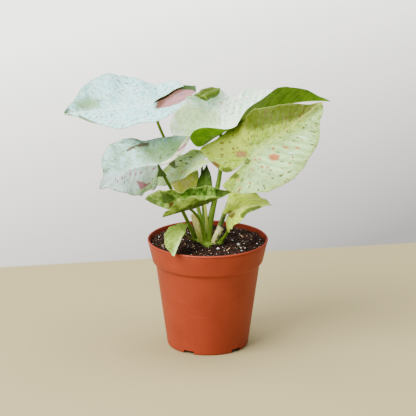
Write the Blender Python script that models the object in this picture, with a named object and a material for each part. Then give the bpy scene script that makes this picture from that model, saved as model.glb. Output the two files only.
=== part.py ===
"""Potted syngonium: a plastic nursery pot of soil with one crown of stems and ten leaves.

Metres, +Z up, -Y towards the viewer. The origin is on the pot's axis at its underside.
Leaf and stem values are in millimetres and degrees, and are scaled by MM on the way in.
"""

from dataclasses import dataclass
from math import cos, pi, radians, sin

import bpy
import numpy as np

MM = 0.001

# Pot
POT_HEIGHT = 0.096
RIM_RADIUS = 0.0525
BAND_RADIUS = 0.0480
BAND_HEIGHT = 0.0765
NECK_RADIUS = 0.0454
NECK_HEIGHT = 0.0744
NECK_STEP = 0.0016
STEP_RISE = 0.0010
WALL_STEP_RISE = 0.0006
BAND_LEAN = 0.0003
BASE_RADIUS = 0.0355
FOOT_BEVEL = 0.0008
FOOT_BEVEL_HEIGHT = 0.0010
POT_WALL = 0.0012
LIP_HEIGHT = 0.0022
LIP_GROOVE = 0.0009
LIP_GROOVE_EDGE = 0.0006
LIP_ROUND = 0.0005
LIP_CROWN = 0.0011
LIP_INSIDE = 0.0017
REST_DISC_RADIUS = 0.023
FLOOR_UNDERSIDE = 0.0012
FLOOR_TOP = 0.0026
FOOT_RING_RADIUS = 0.0332
DRAIN_SLOTS = 5
DRAIN_SLOT_WIDTH = 0.0100
DRAIN_SLOT_HEIGHT = 0.0032
DRAIN_SLOT_FIRST = -118.0
DRAIN_SLOT_INNER = 0.0268
DRAIN_SLOT_REACH = 0.004
POT_SIDES = 48

# Soil
SOIL_HEIGHT = 0.0925
SOIL_RADIUS = 0.050
SOIL_LUMP = 0.0007
SOIL_SETTLE = 0.0006
SOIL_RIM_DROP = 0.0022
SOIL_RINGS = (1.0, 0.93, 0.82, 0.70, 0.58, 0.46, 0.34, 0.20)
FIT_GAP = 0.0003
STUB_DEPTH = 0.012
STUB_SHOW = 0.0012
STUB_CROWN = 0.0003
STUB_HOLE_CLEAR = 0.01
STUB_SIDES = 18
HOLE_SIDES = 20

# Leaves and petioles
BLADE_THICKNESS = 0.0007
PETIOLE_SIDES = 8
PETIOLE_ROWS = 10
DOME_ANGLES = (35, 65)
CUT_END_CROWN = 0.05
MIDRIB_STEPS = 400
SECTION_SAMPLES = 10
FLAP_HINGE = 1.25
FLAP_BEND = 0.6


@dataclass(frozen=True)
class Half:
    """One side of a blade. Lengths are millimetres, angles degrees, places a share from lobe to tip."""

    width: float
    spread: float
    back: float
    sinus: float = 1.2
    blunt: float = 0.5
    taper: float = 1.0
    fold: float = 10.0
    fold_tip: float = 10.0
    lobe_lift: float = 0.0
    curl: float = -10.0
    curl_tip: float = -10.0
    lobe_curl: float = -10.0
    drop: float = 0.0
    notch: float = 0.0
    notch_at: float = 0.5
    notch_width: float = 0.05
    flap: float = 0.0
    flap_turn: float = 0.0
    flap_at: float = 0.5
    flap_width: float = 0.1


@dataclass(frozen=True)
class Blade:
    """A leaf: where its petiole meets it, how its midrib runs, and its left and right sides."""

    name: str
    colour: tuple
    at: tuple
    yaw: float
    pitch: float
    roll: float
    length: float
    left: Half
    right: Half
    droop: float = 0.0
    tip_droop: float = 0.0
    back_rise: float = 0.0
    swerve: float = 0.0
    twist: float = 0.0
    rows: int = 8
    lobe_rows: int = 4
    across: int = 3
    edge_bias: float = 1.0


@dataclass(frozen=True)
class Stalk:
    """A petiole or sheath through four points in millimetres, with its radius at foot and top."""

    foot: tuple
    low: tuple
    high: tuple
    foot_radius: float
    top_radius: float
    leaf: str = ""
    top: tuple = ()
    cut: bool = False


BLADES = (
    Blade(
        name="leaf_upper_left", colour=(205, 228, 222), at=(-47, 20, 210),
        yaw=191, pitch=-2, roll=-25, length=78, droop=3, back_rise=-4, swerve=-2, twist=-20,
        rows=12, lobe_rows=7, across=4,
        left=Half(width=33, spread=-30, back=43, sinus=1.6, taper=1.1, fold=17, fold_tip=0,
                  lobe_lift=-7, curl=1, curl_tip=-8, lobe_curl=24, drop=-1.5),
        right=Half(width=42, spread=19, back=22, sinus=1.4, taper=0.8, fold=0, fold_tip=25,
                   lobe_lift=17, curl=-21, curl_tip=-3, lobe_curl=-9),
    ),
    Blade(
        name="leaf_mid_left", colour=(192, 216, 204), at=(-42, -22, 168),
        yaw=208, pitch=8, roll=-53, length=62, droop=37, swerve=17, twist=-6,
        rows=12, lobe_rows=7, across=4,
        left=Half(width=24, spread=35, back=7, sinus=0.8, taper=0.95, fold=-41, fold_tip=4,
                  lobe_lift=-23, curl=-20, curl_tip=-11, lobe_curl=-19),
        right=Half(width=37, spread=28, back=38, sinus=2, blunt=0.55, taper=0.85, fold=-29,
                   fold_tip=20, lobe_lift=24, curl=-24, curl_tip=-21, lobe_curl=13),
    ),
    Blade(
        name="leaf_upper_right", colour=(222, 232, 218), at=(11, 13, 186),
        yaw=39, pitch=22, roll=15, length=118, droop=25, tip_droop=8, back_rise=-3,
        swerve=-16, twist=-17, rows=22, lobe_rows=9, across=6, edge_bias=1.8,
        left=Half(width=41, spread=23, back=42, blunt=0.4, taper=1.5, fold=47, fold_tip=32,
                  lobe_lift=9, curl=-3, curl_tip=-12, lobe_curl=-6, notch=12, notch_at=0.45,
                  notch_width=0.055, flap=9, flap_turn=150, flap_at=0.32, flap_width=0.08),
        right=Half(width=33, spread=19, back=35, sinus=2.8, taper=1.1, fold=54, fold_tip=82,
                   lobe_lift=30, curl=-19, curl_tip=-8, lobe_curl=9),
    ),
    Blade(
        name="leaf_large_right", colour=(206, 216, 160), at=(34, -31.5, 175.4),
        yaw=-12, pitch=41, roll=55, length=82, droop=1, back_rise=-2, swerve=2, twist=1,
        rows=14, lobe_rows=8, across=4,
        left=Half(width=40, spread=36, back=33.5, sinus=3.6, blunt=0.45, taper=1.1, fold=-8,
                  fold_tip=16, lobe_lift=8, curl=-7, curl_tip=-4, lobe_curl=4),
        right=Half(width=38, spread=4, back=32, blunt=0.65, taper=0.65, fold=-5, fold_tip=3,
                   lobe_lift=2, curl=-9, curl_tip=-8, lobe_curl=-8),
    ),
    Blade(
        name="leaf_centre", colour=(170, 198, 150), at=(-5, 13, 162),
        yaw=178, pitch=-23, roll=-20, length=48, droop=10, swerve=-1, twist=-1,
        left=Half(width=13, spread=4, back=9, taper=0.55, fold=8, fold_tip=-3, lobe_lift=1, curl=-7),
        right=Half(width=18, spread=3, back=6, taper=0.85, fold=15, fold_tip=13),
    ),
    Blade(
        name="leaf_yellow", colour=(206, 204, 110), at=(-18, 24, 153),
        yaw=-118, pitch=-79, roll=-1, length=29, droop=1, swerve=-1, twist=2,
        left=Half(width=13, spread=3, back=5, taper=0.7, fold=11, fold_tip=9),
        right=Half(width=18, spread=3, back=6, taper=0.9, fold=13, fold_tip=7, curl=-8),
    ),
    Blade(
        name="leaf_centre_upright", colour=(84, 128, 58), at=(-3, 2, 131),
        yaw=78, pitch=69, roll=0, length=30, droop=-3, swerve=-1, rows=7, lobe_rows=3,
        left=Half(width=8, spread=3, back=5, fold=12, fold_tip=12, curl_tip=0),
        right=Half(width=7, spread=3, back=5, taper=0.9, fold=12, fold_tip=12, curl_tip=0),
    ),
    Blade(
        name="leaf_low_folded", colour=(112, 146, 76), at=(-15, -22, 129),
        yaw=0, pitch=19, roll=36, length=39, droop=-8, back_rise=-5, twist=7,
        rows=9, lobe_rows=7, across=4,
        left=Half(width=24, spread=21, back=37, sinus=2, blunt=0.4, taper=0.8, fold=48,
                  fold_tip=46, lobe_lift=-36, curl=68, curl_tip=1, lobe_curl=17),
        right=Half(width=27, spread=-2, back=25, sinus=0.8, taper=0.7, fold=50, fold_tip=58,
                   lobe_lift=3, curl=53, curl_tip=-8, lobe_curl=32),
    ),
    Blade(
        name="leaf_low_right", colour=(182, 206, 112), at=(19, -20, 124),
        yaw=-25, pitch=32, roll=16, length=42, droop=28, twist=-21, rows=9,
        left=Half(width=27, spread=6, back=10, blunt=0.45, taper=0.9, fold=19, fold_tip=-4,
                  lobe_lift=-8, curl=2, curl_tip=-11, lobe_curl=-14),
        right=Half(width=19, spread=12, back=8, sinus=2.6, blunt=0.45, taper=0.9, fold=-16,
                   fold_tip=1, lobe_lift=-32, curl=-19, curl_tip=-3, lobe_curl=-26),
    ),
    Blade(
        name="leaf_small_drooping", colour=(190, 208, 132), at=(-20.3, -33, 110.5),
        yaw=-113, pitch=-12, roll=14, length=26.5, droop=43, swerve=2, twist=4, rows=7,
        left=Half(width=4, spread=-2, back=4.6, taper=0.75, fold=36, fold_tip=31, curl=-3,
                  curl_tip=-4, lobe_curl=-5),
        right=Half(width=16.4, spread=2.3, back=14.7, taper=0.75, fold=24, fold_tip=9,
                   lobe_lift=3, curl=-18, lobe_curl=-9),
    ),
)

STALKS = (
    Stalk((-4, 1, 94), (-8, 12, 118), (-23, 31, 148), 1.7, 1.0, leaf="leaf_upper_left"),
    Stalk((-10, -2, 94), (-16, -7, 110), (-25.5, -13, 132.5), 1.6, 1.0, leaf="leaf_mid_left"),
    Stalk((0, -3, 94), (3.5, 2, 111), (9, 9, 140), 2.3, 1.5, leaf="leaf_upper_right"),
    Stalk((6, -4, 94), (14, 4, 115), (22, 4, 137), 2.2, 1.4, leaf="leaf_large_right"),
    Stalk((-1, -2, 94), (-3, 6, 110), (-5, 17, 137), 1.6, 1.0, leaf="leaf_centre"),
    Stalk((-3, 1, 94), (-8, 15, 115), (-12, 27, 137), 1.6, 0.9, leaf="leaf_yellow"),
    Stalk((0, -5, 94), (-0.5, -3, 108), (-2, 1, 122), 2.0, 1.1, leaf="leaf_centre_upright"),
    Stalk((-4, -8, 94), (-7, -11, 106), (-11, -17, 119), 1.6, 1.2, leaf="leaf_low_folded"),
    Stalk((10, -6, 94), (14, -8.5, 99), (18, -14, 108), 1.5, 1.1, leaf="leaf_low_right"),
    Stalk((-9, -4, 94), (-13, -10, 97), (-17, -22, 104), 1.1, 0.8, leaf="leaf_small_drooping"),
    Stalk((-5, -8, 94), (-7, -10, 101), (-9.5, -13, 112), 1.6, 2.3, top=(-11.5, -16, 121)),
    Stalk((5, -9, 94), (6.5, -8.5, 98), (9, -7, 103), 2.4, 3.0, top=(11.5, -6, 107.5), cut=True),
    Stalk((8, -3, 94), (9.5, -1, 100), (11.5, 1, 107), 3.4, 1.0, top=(13.5, 2, 114)),
)

# Stubs that stand in the soil: centre x and y, radius and top height in millimetres.
STUBS = (
    (0.5, -12.5, 7.0, 97.0),
    (-8.0, -2.5, 4.6, 97.0),
    (8.5, -5.5, 5.2, 97.0),
    (-1.0, -1.0, 7.0, 98.0),
)


def clear_scene():
    for obj in list(bpy.data.objects):
        bpy.data.objects.remove(obj, do_unlink=True)


def linear(channel):
    share = channel / 255.0
    return share / 12.92 if share <= 0.04045 else ((share + 0.055) / 1.055) ** 2.4


def finish(obj, colour, roughness, smooth=True):
    """Gives the object its own material and shading."""
    material = bpy.data.materials.new(obj.name)
    material.use_nodes = True
    surface = material.node_tree.nodes["Principled BSDF"]
    surface.inputs["Base Color"].default_value = [linear(channel) for channel in colour] + [1.0]
    surface.inputs["Roughness"].default_value = roughness
    surface.inputs["Metallic"].default_value = 0.0
    obj.data.materials.clear()
    obj.data.materials.append(material)
    obj.data.polygons.foreach_set("use_smooth", [smooth] * len(obj.data.polygons))
    return obj


def new_object(name, points, faces):
    mesh = bpy.data.meshes.new(name)
    mesh.from_pydata([tuple(point) for point in points], [], [tuple(face) for face in faces])
    mesh.update()
    obj = bpy.data.objects.new(name, mesh)
    bpy.context.scene.collection.objects.link(obj)
    return obj


def hide_helper(obj):
    obj.hide_render = True
    obj.display_type = "WIRE"
    return obj


def lathe(name, profile, sides):
    """Turns a profile of (radius, height) about Z. It starts and ends on the axis, outward first."""
    points = [(0.0, 0.0, profile[0][1])]
    for radius, height in profile[1:-1]:
        for side in range(sides):
            angle = 2 * pi * side / sides
            points.append((radius * cos(angle), radius * sin(angle), height))
    points.append((0.0, 0.0, profile[-1][1]))
    rings = len(profile) - 2
    last = len(points) - 1
    faces = []
    for side in range(sides):
        after = (side + 1) % sides
        faces.append((0, 1 + after, 1 + side))
        top = 1 + (rings - 1) * sides
        faces.append((last, top + side, top + after))
        for ring in range(rings - 1):
            low = 1 + ring * sides
            high = low + sides
            faces.append((low + side, low + after, high + after, high + side))
    return new_object(name, points, faces)


def cylinder(name, centre, radius, bottom, top, sides):
    profile = [(0, bottom), (radius, bottom), (radius, top), (0, top)]
    obj = lathe(name, profile, sides)
    for vertex in obj.data.vertices:
        vertex.co.x += centre[0]
        vertex.co.y += centre[1]
    return obj


def subtract(obj, cutter):
    cut = obj.modifiers.new("Cut " + cutter.name, "BOOLEAN")
    cut.operation = "DIFFERENCE"
    cut.solver = "EXACT"
    cut.object = cutter


def apply_modifiers(obj):
    """Gives the object the mesh that its modifiers make, and takes the modifiers off."""
    made = obj.evaluated_get(bpy.context.evaluated_depsgraph_get())
    mesh = bpy.data.meshes.new_from_object(made)
    obj.modifiers.clear()
    obj.data = mesh
    mesh.name = obj.name


def outside_profile():
    """The pot's outer wall from its foot to the top of its lip."""
    lip_foot = POT_HEIGHT - LIP_HEIGHT
    return [
        (BASE_RADIUS - FOOT_BEVEL, 0.0),
        (BASE_RADIUS, FOOT_BEVEL_HEIGHT),
        (NECK_RADIUS, NECK_HEIGHT),
        (NECK_RADIUS + NECK_STEP, NECK_HEIGHT + STEP_RISE),
        (BAND_RADIUS, BAND_HEIGHT),
        (BAND_RADIUS + BAND_LEAN, BAND_HEIGHT + STEP_RISE),
        (RIM_RADIUS - LIP_GROOVE_EDGE, lip_foot - 0.8 * LIP_ROUND),
        (RIM_RADIUS - LIP_GROOVE, lip_foot),
        (RIM_RADIUS - 0.4 * LIP_ROUND, lip_foot + LIP_ROUND),
        (RIM_RADIUS, POT_HEIGHT - 1.6 * LIP_ROUND),
        (RIM_RADIUS - LIP_ROUND, POT_HEIGHT - 0.2 * LIP_ROUND),
        (RIM_RADIUS - LIP_CROWN, POT_HEIGHT),
    ]


def inside_profile():
    """The pot's inner wall from its lip down to the edge of its floor."""
    return [
        (RIM_RADIUS - LIP_INSIDE, POT_HEIGHT - LIP_ROUND),
        (RIM_RADIUS - LIP_INSIDE - 0.4 * LIP_ROUND, POT_HEIGHT - 3.2 * LIP_ROUND),
        (BAND_RADIUS + BAND_LEAN - POT_WALL, BAND_HEIGHT + WALL_STEP_RISE),
        (NECK_RADIUS - POT_WALL, NECK_HEIGHT - WALL_STEP_RISE),
        (BASE_RADIUS - POT_WALL, FLOOR_TOP),
    ]


def inside_radius(height):
    """The pot's inner radius at a height between its floor and its lip."""
    wall = inside_profile()[::-1]
    return float(np.interp(height, [z for _, z in wall], [r for r, _ in wall]))


def build_pot():
    under = [
        (0.0, 0.0),
        (REST_DISC_RADIUS, 0.0),
        (REST_DISC_RADIUS + FOOT_BEVEL_HEIGHT, FLOOR_UNDERSIDE),
        (FOOT_RING_RADIUS - FOOT_BEVEL_HEIGHT, FLOOR_UNDERSIDE),
        (FOOT_RING_RADIUS, 0.0),
    ]
    profile = under + outside_profile() + inside_profile() + [(0.0, FLOOR_TOP)]
    pot = lathe("pot", profile, POT_SIDES)
    for slot in range(DRAIN_SLOTS):
        turn = radians(DRAIN_SLOT_FIRST + slot * 360.0 / DRAIN_SLOTS)
        cutter = drain_cutter("drain_cutter_%d" % (slot + 1), turn)
        subtract(pot, cutter)
    return finish(pot, (190, 90, 55), 0.42)


def drain_cutter(name, turn):
    """A block that opens the foot of the wall and the floor just inside it."""
    inner = DRAIN_SLOT_INNER
    outer = BASE_RADIUS + DRAIN_SLOT_REACH
    half_width = DRAIN_SLOT_WIDTH / 2
    corners = []
    for height in (-DRAIN_SLOT_REACH / 4, DRAIN_SLOT_HEIGHT):
        for along, side in ((inner, -1), (outer, -1), (outer, 1), (inner, 1)):
            across = side * half_width
            corners.append((
                along * cos(turn) - across * sin(turn),
                along * sin(turn) + across * cos(turn),
                height,
            ))
    faces = [(0, 3, 2, 1), (4, 5, 6, 7), (0, 1, 5, 4), (1, 2, 6, 5), (2, 3, 7, 6), (3, 0, 4, 7)]
    return hide_helper(new_object(name, corners, faces))


def soil_height(x, y):
    """The lumpy top of the soil, which settles slightly towards the wall."""
    lumps = sin(310 * x + 1.3) * cos(270 * y - 0.4) + 0.6 * sin(520 * y + 150 * x)
    edge = (x * x + y * y) / (SOIL_RADIUS * SOIL_RADIUS)
    return SOIL_HEIGHT + SOIL_LUMP * lumps - SOIL_SETTLE * edge


def build_soil():
    bottom = FLOOR_TOP + FIT_GAP
    side_heights = [bottom, NECK_HEIGHT - WALL_STEP_RISE, BAND_HEIGHT + WALL_STEP_RISE]
    profile = [(0.0, bottom)]
    profile += [(inside_radius(height) - FIT_GAP, height) for height in side_heights]
    rim = inside_radius(SOIL_HEIGHT - SOIL_RIM_DROP) - FIT_GAP
    profile += [(rim * share, SOIL_HEIGHT) for share in SOIL_RINGS]
    profile += [(0.0, SOIL_HEIGHT)]
    soil = lathe("soil", profile, POT_SIDES)
    for vertex in soil.data.vertices:
        if vertex.co.z > SOIL_HEIGHT - 0.0001:
            vertex.co.z = soil_height(vertex.co.x, vertex.co.y)
    for number, (x, y, radius, _) in enumerate(STUBS):
        hole = cylinder(
            "stub_hole_%d" % (number + 1), (x * MM, y * MM), radius * MM + FIT_GAP,
            SOIL_HEIGHT - STUB_DEPTH - FIT_GAP, SOIL_HEIGHT + STUB_HOLE_CLEAR, HOLE_SIDES,
        )
        subtract(soil, hide_helper(hole))
    return finish(soil, (52, 34, 27), 0.95, smooth=False)


def ease(value):
    """0 to 1 with level ends."""
    value = np.clip(value, 0.0, 1.0)
    return value * value * (3 - 2 * value)


def midrib(blade, along):
    """Midrib points at distances along it, and the directions across the blade and out of its top."""
    longest = max(blade.left.back, blade.right.back)
    steps = np.linspace(-longest * 1.02, blade.length, MIDRIB_STEPS)

    def headings(distance):
        share = distance / blade.length
        ahead = np.maximum(share, 0.0)
        pitch = np.radians(
            blade.pitch - blade.droop * ahead - blade.tip_droop * ahead**2
            - blade.back_rise * np.minimum(share, 0.0)
        )
        yaw = np.radians(blade.yaw + blade.swerve * ahead)
        return pitch, yaw

    pitch, yaw = headings(steps)
    course = np.stack([np.cos(pitch) * np.cos(yaw), np.cos(pitch) * np.sin(yaw), np.sin(pitch)], -1)
    moved = np.cumsum((course[1:] + course[:-1]) / 2 * (steps[1] - steps[0]), axis=0)
    path = np.concatenate([np.zeros((1, 3)), moved])
    path -= [np.interp(0.0, steps, path[:, axis]) for axis in range(3)]
    path += np.array(blade.at, float)
    centre = np.stack([np.interp(along, steps, path[:, axis]) for axis in range(3)], -1)
    pitch, yaw = headings(along)
    roll = np.radians(blade.roll + blade.twist * along / blade.length)[..., None]
    level = np.stack([-np.sin(yaw), np.cos(yaw), 0 * yaw], -1)
    above = np.stack([-np.sin(pitch) * np.cos(yaw), -np.sin(pitch) * np.sin(yaw), np.cos(pitch)], -1)
    return (
        centre,
        level * np.cos(roll) + above * np.sin(roll),
        above * np.cos(roll) - level * np.sin(roll),
    )


def half_points(blade, half, sign, along, across):
    """Points of one side: along is the distance from the petiole, across runs 0 to 1 from midrib to margin.

    The margin follows q**blunt * (1 - q)**taper, and the section turns by fold + curl * x / width,
    so the height and reach of a point are the integrals of its sine and cosine.
    """
    whole = blade.length + half.back
    place = (along + half.back) / whole
    peak = half.blunt / (half.blunt + half.taper)
    lobe = np.clip(-along / half.back, 0.0, 1.0)
    margin = half.width * (place / peak) ** half.blunt * ((1 - place) / (1 - peak)) ** half.taper
    margin = margin * (1 - ease(lobe) * np.clip(half.spread / half.width, 0, 1))
    margin = margin + half.spread * ease(lobe)
    margin = margin - half.notch * np.exp(-((place - half.notch_at) / half.notch_width) ** 2)
    flap = np.exp(-((place - half.flap_at) / half.flap_width) ** 4)
    margin = margin + half.flap * flap
    inner = half.spread * lobe**half.sinus
    ends = (place < 1e-9) | (place > 1 - 1e-9)
    reach = np.where(ends, 0.0, np.maximum(margin - inner, 1e-6))
    x = inner + reach * across
    share = np.clip(along / blade.length, 0.0, 1.0)
    fold = np.radians(half.fold + (half.fold_tip - half.fold) * share + half.lobe_lift * ease(lobe))
    curl = np.radians(
        half.curl + (half.curl_tip - half.curl) * share + (half.lobe_curl - half.curl) * ease(lobe)
    )
    turn = np.radians(half.flap_turn) * flap
    hinge = margin - FLAP_HINGE * half.flap * flap
    nodes, weights = np.polynomial.legendre.leggauss(SECTION_SAMPLES)
    sample = x[..., None] * (nodes + 1) / 2
    angle = fold[..., None] + curl[..., None] * sample / half.width
    if half.flap:
        past_hinge = (sample - hinge[..., None]) / (FLAP_BEND * half.flap)
        angle = angle + turn[..., None] * ease(past_hinge)
    reached = x * (np.cos(angle) * weights / 2).sum(-1)
    raised = x * (np.sin(angle) * weights / 2).sum(-1) + half.drop * ease(2.5 * lobe)
    centre, outward, upward = midrib(blade, along)
    return centre + sign * outward * reached[..., None] + upward * raised[..., None]


def half_mesh(blade, half, sign):
    """Grid of one side and its triangles, which face up."""
    lobe_places = -half.back * np.cos(np.linspace(0, 1, blade.lobe_rows + 1) * pi / 2)
    steps = np.linspace(0, 1, blade.rows + 1)
    blade_places = blade.length * (0.4 * steps + 0.6 * np.sin(steps * pi / 2))
    lobe_places[-1] = 0.0
    along = np.concatenate([lobe_places, blade_places[1:]])[:, None]
    across = 1 - (1 - np.linspace(0, 1, blade.across + 1)[None, :]) ** blade.edge_bias
    along, across = np.broadcast_arrays(along, across)
    points = half_points(blade, half, sign, along, across)
    rows, columns = along.shape
    index = np.arange(rows * columns).reshape(rows, columns)
    a, b, c, d = index[:-1, :-1], index[1:, :-1], index[1:, 1:], index[:-1, 1:]
    faces = np.concatenate([np.stack([a, b, c], -1).reshape(-1, 3), np.stack([a, c, d], -1).reshape(-1, 3)])
    return points.reshape(-1, 3), faces if sign > 0 else faces[:, ::-1]


def build_leaf(blade):
    left_points, left_faces = half_mesh(blade, blade.left, 1)
    right_points, right_faces = half_mesh(blade, blade.right, -1)
    points = np.concatenate([left_points, right_points]) * MM
    faces = np.concatenate([left_faces, right_faces + len(left_points)])
    _, first, index = np.unique(
        np.round(points / 1e-7).astype(np.int64), axis=0, return_index=True, return_inverse=True
    )
    faces = index.reshape(-1)[faces]
    whole = (faces[:, 0] != faces[:, 1]) & (faces[:, 1] != faces[:, 2]) & (faces[:, 0] != faces[:, 2])
    leaf = new_object(blade.name, points[first], faces[whole])
    thicken = leaf.modifiers.new("Thickness", "SOLIDIFY")
    thicken.thickness = BLADE_THICKNESS
    thicken.offset = 0.0
    thicken.use_even_offset = True
    thicken.use_quality_normals = True
    return finish(leaf, blade.colour, 0.5)


def stalk_end(stalk):
    """Centre of the stalk's rounded top: just under its leaf, or the stated point."""
    if stalk.top:
        return np.array(stalk.top, float)
    blade = next(blade for blade in BLADES if blade.name == stalk.leaf)
    centre, _, upward = midrib(blade, np.array([0.0]))
    hang = radians(max(0.0, -blade.left.fold, -blade.right.fold))
    keel = radians(max(0.0, blade.left.fold, blade.right.fold))
    half_thickness = BLADE_THICKNESS / MM / 2 / cos(keel)
    clear = (stalk.top_radius + half_thickness + FIT_GAP / MM) / cos(hang) ** 2
    return centre[0] - upward[0] * clear


def curve_through(places, shares):
    """The cubic through four points, at shares of its length from 0 to 1."""
    places = np.array(places, float)
    gaps = np.linalg.norm(np.diff(places, axis=0), axis=1)
    knots = np.concatenate([[0.0], np.cumsum(gaps)]) / gaps.sum()
    total = np.zeros((len(shares), 3))
    for number, place in enumerate(places):
        weight = np.ones(len(shares))
        for other in range(4):
            if other != number:
                weight = weight * (shares - knots[other]) / (knots[number] - knots[other])
        total += weight[:, None] * place
    return total


def build_stalk(name, stalk):
    """A tapered tube with a rounded top, closed at both ends."""
    shares = np.linspace(0, 1, PETIOLE_ROWS)
    path = curve_through([stalk.foot, stalk.low, stalk.high, stalk_end(stalk)], shares)
    course = np.gradient(path, axis=0)
    course /= np.linalg.norm(course, axis=1)[:, None]
    radii = stalk.top_radius + (stalk.foot_radius - stalk.top_radius) * (1 - shares) ** 1.5
    rings = [(path[row], course[row], radii[row]) for row in range(PETIOLE_ROWS)]
    for dome in () if stalk.cut else DOME_ANGLES:
        rise = stalk.top_radius * sin(radians(dome))
        rings.append((path[-1] + course[-1] * rise, course[-1], stalk.top_radius * cos(radians(dome))))
    pole = path[-1] + course[-1] * stalk.top_radius * (CUT_END_CROWN if stalk.cut else 1.0)
    points = []
    for centre, along, radius in rings:
        side = np.cross(along, (0.0, 1.0, 0.0))
        side /= np.linalg.norm(side)
        other = np.cross(along, side)
        for step in range(PETIOLE_SIDES):
            angle = 2 * pi * step / PETIOLE_SIDES
            points.append((centre + radius * (cos(angle) * side + sin(angle) * other)) * MM)
    points.append(pole * MM)
    last = len(points) - 1
    faces = [tuple(range(PETIOLE_SIDES))[::-1]]
    for step in range(PETIOLE_SIDES):
        after = (step + 1) % PETIOLE_SIDES
        for ring in range(len(rings) - 1):
            low = ring * PETIOLE_SIDES
            high = low + PETIOLE_SIDES
            faces.append((low + step, low + after, high + after, high + step))
        top = (len(rings) - 1) * PETIOLE_SIDES
        faces.append((top + step, top + after, last))
    return new_object(name, points, faces)


def stub_profile(radius, top):
    bottom = SOIL_HEIGHT - STUB_DEPTH
    return [
        (0.0, bottom),
        (radius, bottom),
        (radius, SOIL_HEIGHT + STUB_SHOW),
        (radius * 0.86, (SOIL_HEIGHT + STUB_SHOW + top) / 2),
        (radius * 0.5, top),
        (0.0, top + STUB_CROWN),
    ]


def build_stems():
    """Every stub, petiole and sheath, joined into one body."""
    pieces = bpy.data.collections.new("stem_pieces")
    bpy.context.scene.collection.children.link(pieces)
    stems = None
    for number, (x, y, radius, top) in enumerate(STUBS):
        stub = lathe("stub_%d" % (number + 1), stub_profile(radius * MM, top * MM), STUB_SIDES)
        for vertex in stub.data.vertices:
            vertex.co.x += x * MM
            vertex.co.y += y * MM
        if stems is None:
            stems = stub
            stems.name = "stems"
            continue
        pieces.objects.link(hide_helper(stub))
    for number, stalk in enumerate(STALKS):
        pieces.objects.link(hide_helper(build_stalk("stalk_%d" % (number + 1), stalk)))
    join = stems.modifiers.new("Join", "BOOLEAN")
    join.operation = "UNION"
    join.solver = "EXACT"
    join.operand_type = "COLLECTION"
    join.collection = pieces
    apply_modifiers(stems)
    for piece in list(pieces.objects):
        bpy.data.objects.remove(piece, do_unlink=True)
    bpy.data.collections.remove(pieces)
    return finish(stems, (122, 160, 62), 0.5)


def main():
    clear_scene()
    build_pot()
    build_soil()
    build_stems()
    for blade in BLADES:
        build_leaf(blade)


main()
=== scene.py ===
"""Looks of a potted syngonium: pot, soil, crown, petioles and ten marbled leaves.

Metres, +Z up, -Y towards the camera. Leaf and petiole sizes are in millimetres and degrees, and MM
brings them to metres. A picture position is in pixels of a 416 by 416 picture.
"""

import logging
from dataclasses import dataclass, field, replace
from enum import Enum
from itertools import combinations
from math import cos, pi, radians, sin

import bpy
import numpy as np
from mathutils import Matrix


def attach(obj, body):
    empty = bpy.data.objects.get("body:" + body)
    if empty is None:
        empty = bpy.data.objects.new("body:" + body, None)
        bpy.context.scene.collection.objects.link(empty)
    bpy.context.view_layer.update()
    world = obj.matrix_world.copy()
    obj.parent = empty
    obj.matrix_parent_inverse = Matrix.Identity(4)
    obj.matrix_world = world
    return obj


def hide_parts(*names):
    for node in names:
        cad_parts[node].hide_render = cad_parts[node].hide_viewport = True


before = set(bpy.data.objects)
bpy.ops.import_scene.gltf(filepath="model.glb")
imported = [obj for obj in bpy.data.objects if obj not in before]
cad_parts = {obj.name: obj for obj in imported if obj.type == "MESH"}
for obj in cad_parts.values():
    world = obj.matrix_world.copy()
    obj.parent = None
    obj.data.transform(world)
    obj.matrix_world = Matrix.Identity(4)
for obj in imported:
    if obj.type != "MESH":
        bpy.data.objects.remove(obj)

LOG = logging.getLogger("potted_syngonium")
MM = 0.001  # metres in a millimetre
CM = 10.0  # millimetres in a centimetre
WELD_STEP = 1e-7  # points closer than this, in metres, are one point
TINY = 1e-9
HASH_STEPS = (127.1, 311.7, 74.7)  # spreads a column, a row and a seed over the noise's hash
HASH_SPREAD = 43758.5453
Array = np.ndarray
Colour = tuple[float, float, float]
Pixel = tuple[float, float]
Triple = tuple[float, float, float]
Dye = tuple[Colour, float]  # a colour and how strongly it covers
Socket = bpy.types.NodeSocket


def ease(value: Array) -> Array:
    """Smooth step from 0 to 1 with level ends: 3v^2 - 2v^3 of the clipped value."""
    value = np.clip(value, 0.0, 1.0)
    return value * value * (3 - 2 * value)


def hill(value: Array, at: float, width: float, power: int = 2) -> Array:
    """Smooth hill of height 1: e to the power of -((value - at) / width)^power."""
    return np.exp(-((value - at) / width) ** power)


def lattice_noise(x: Array, y: Array, seed: int) -> Array:
    """Value noise from -1 to 1: hashed values on whole numbers, joined by smooth steps.

    Args:
        x, y: places in units of one cell.
        seed: number of the pattern.

    Returns:
        The noise at each place.
    """
    column, row = np.floor(x), np.floor(y)
    column_step, row_step, seed_step = HASH_STEPS
    across, up = ease(x - column), ease(y - row)

    def corner(right: int, above: int) -> Array:
        turn = (column + right) * column_step + (row + above) * row_step + seed * seed_step
        wave = np.sin(turn) * HASH_SPREAD
        return 2 * (wave - np.floor(wave)) - 1

    low = corner(0, 0) * (1 - across) + corner(1, 0) * across
    high = corner(0, 1) * (1 - across) + corner(1, 1) * across
    return low * (1 - up) + high * up


def layered_noise(x: Array, y: Array, size: float, seed: int, layers: int = 3) -> Array:
    """Sum of lattice noises, each with half the cell and half the strength of the one before."""
    total = np.zeros(np.broadcast(x, y).shape)
    for layer in range(layers):
        total = total + lattice_noise(x / size * 2**layer, y / size * 2**layer, seed + layer) / 2**layer
    return total


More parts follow.
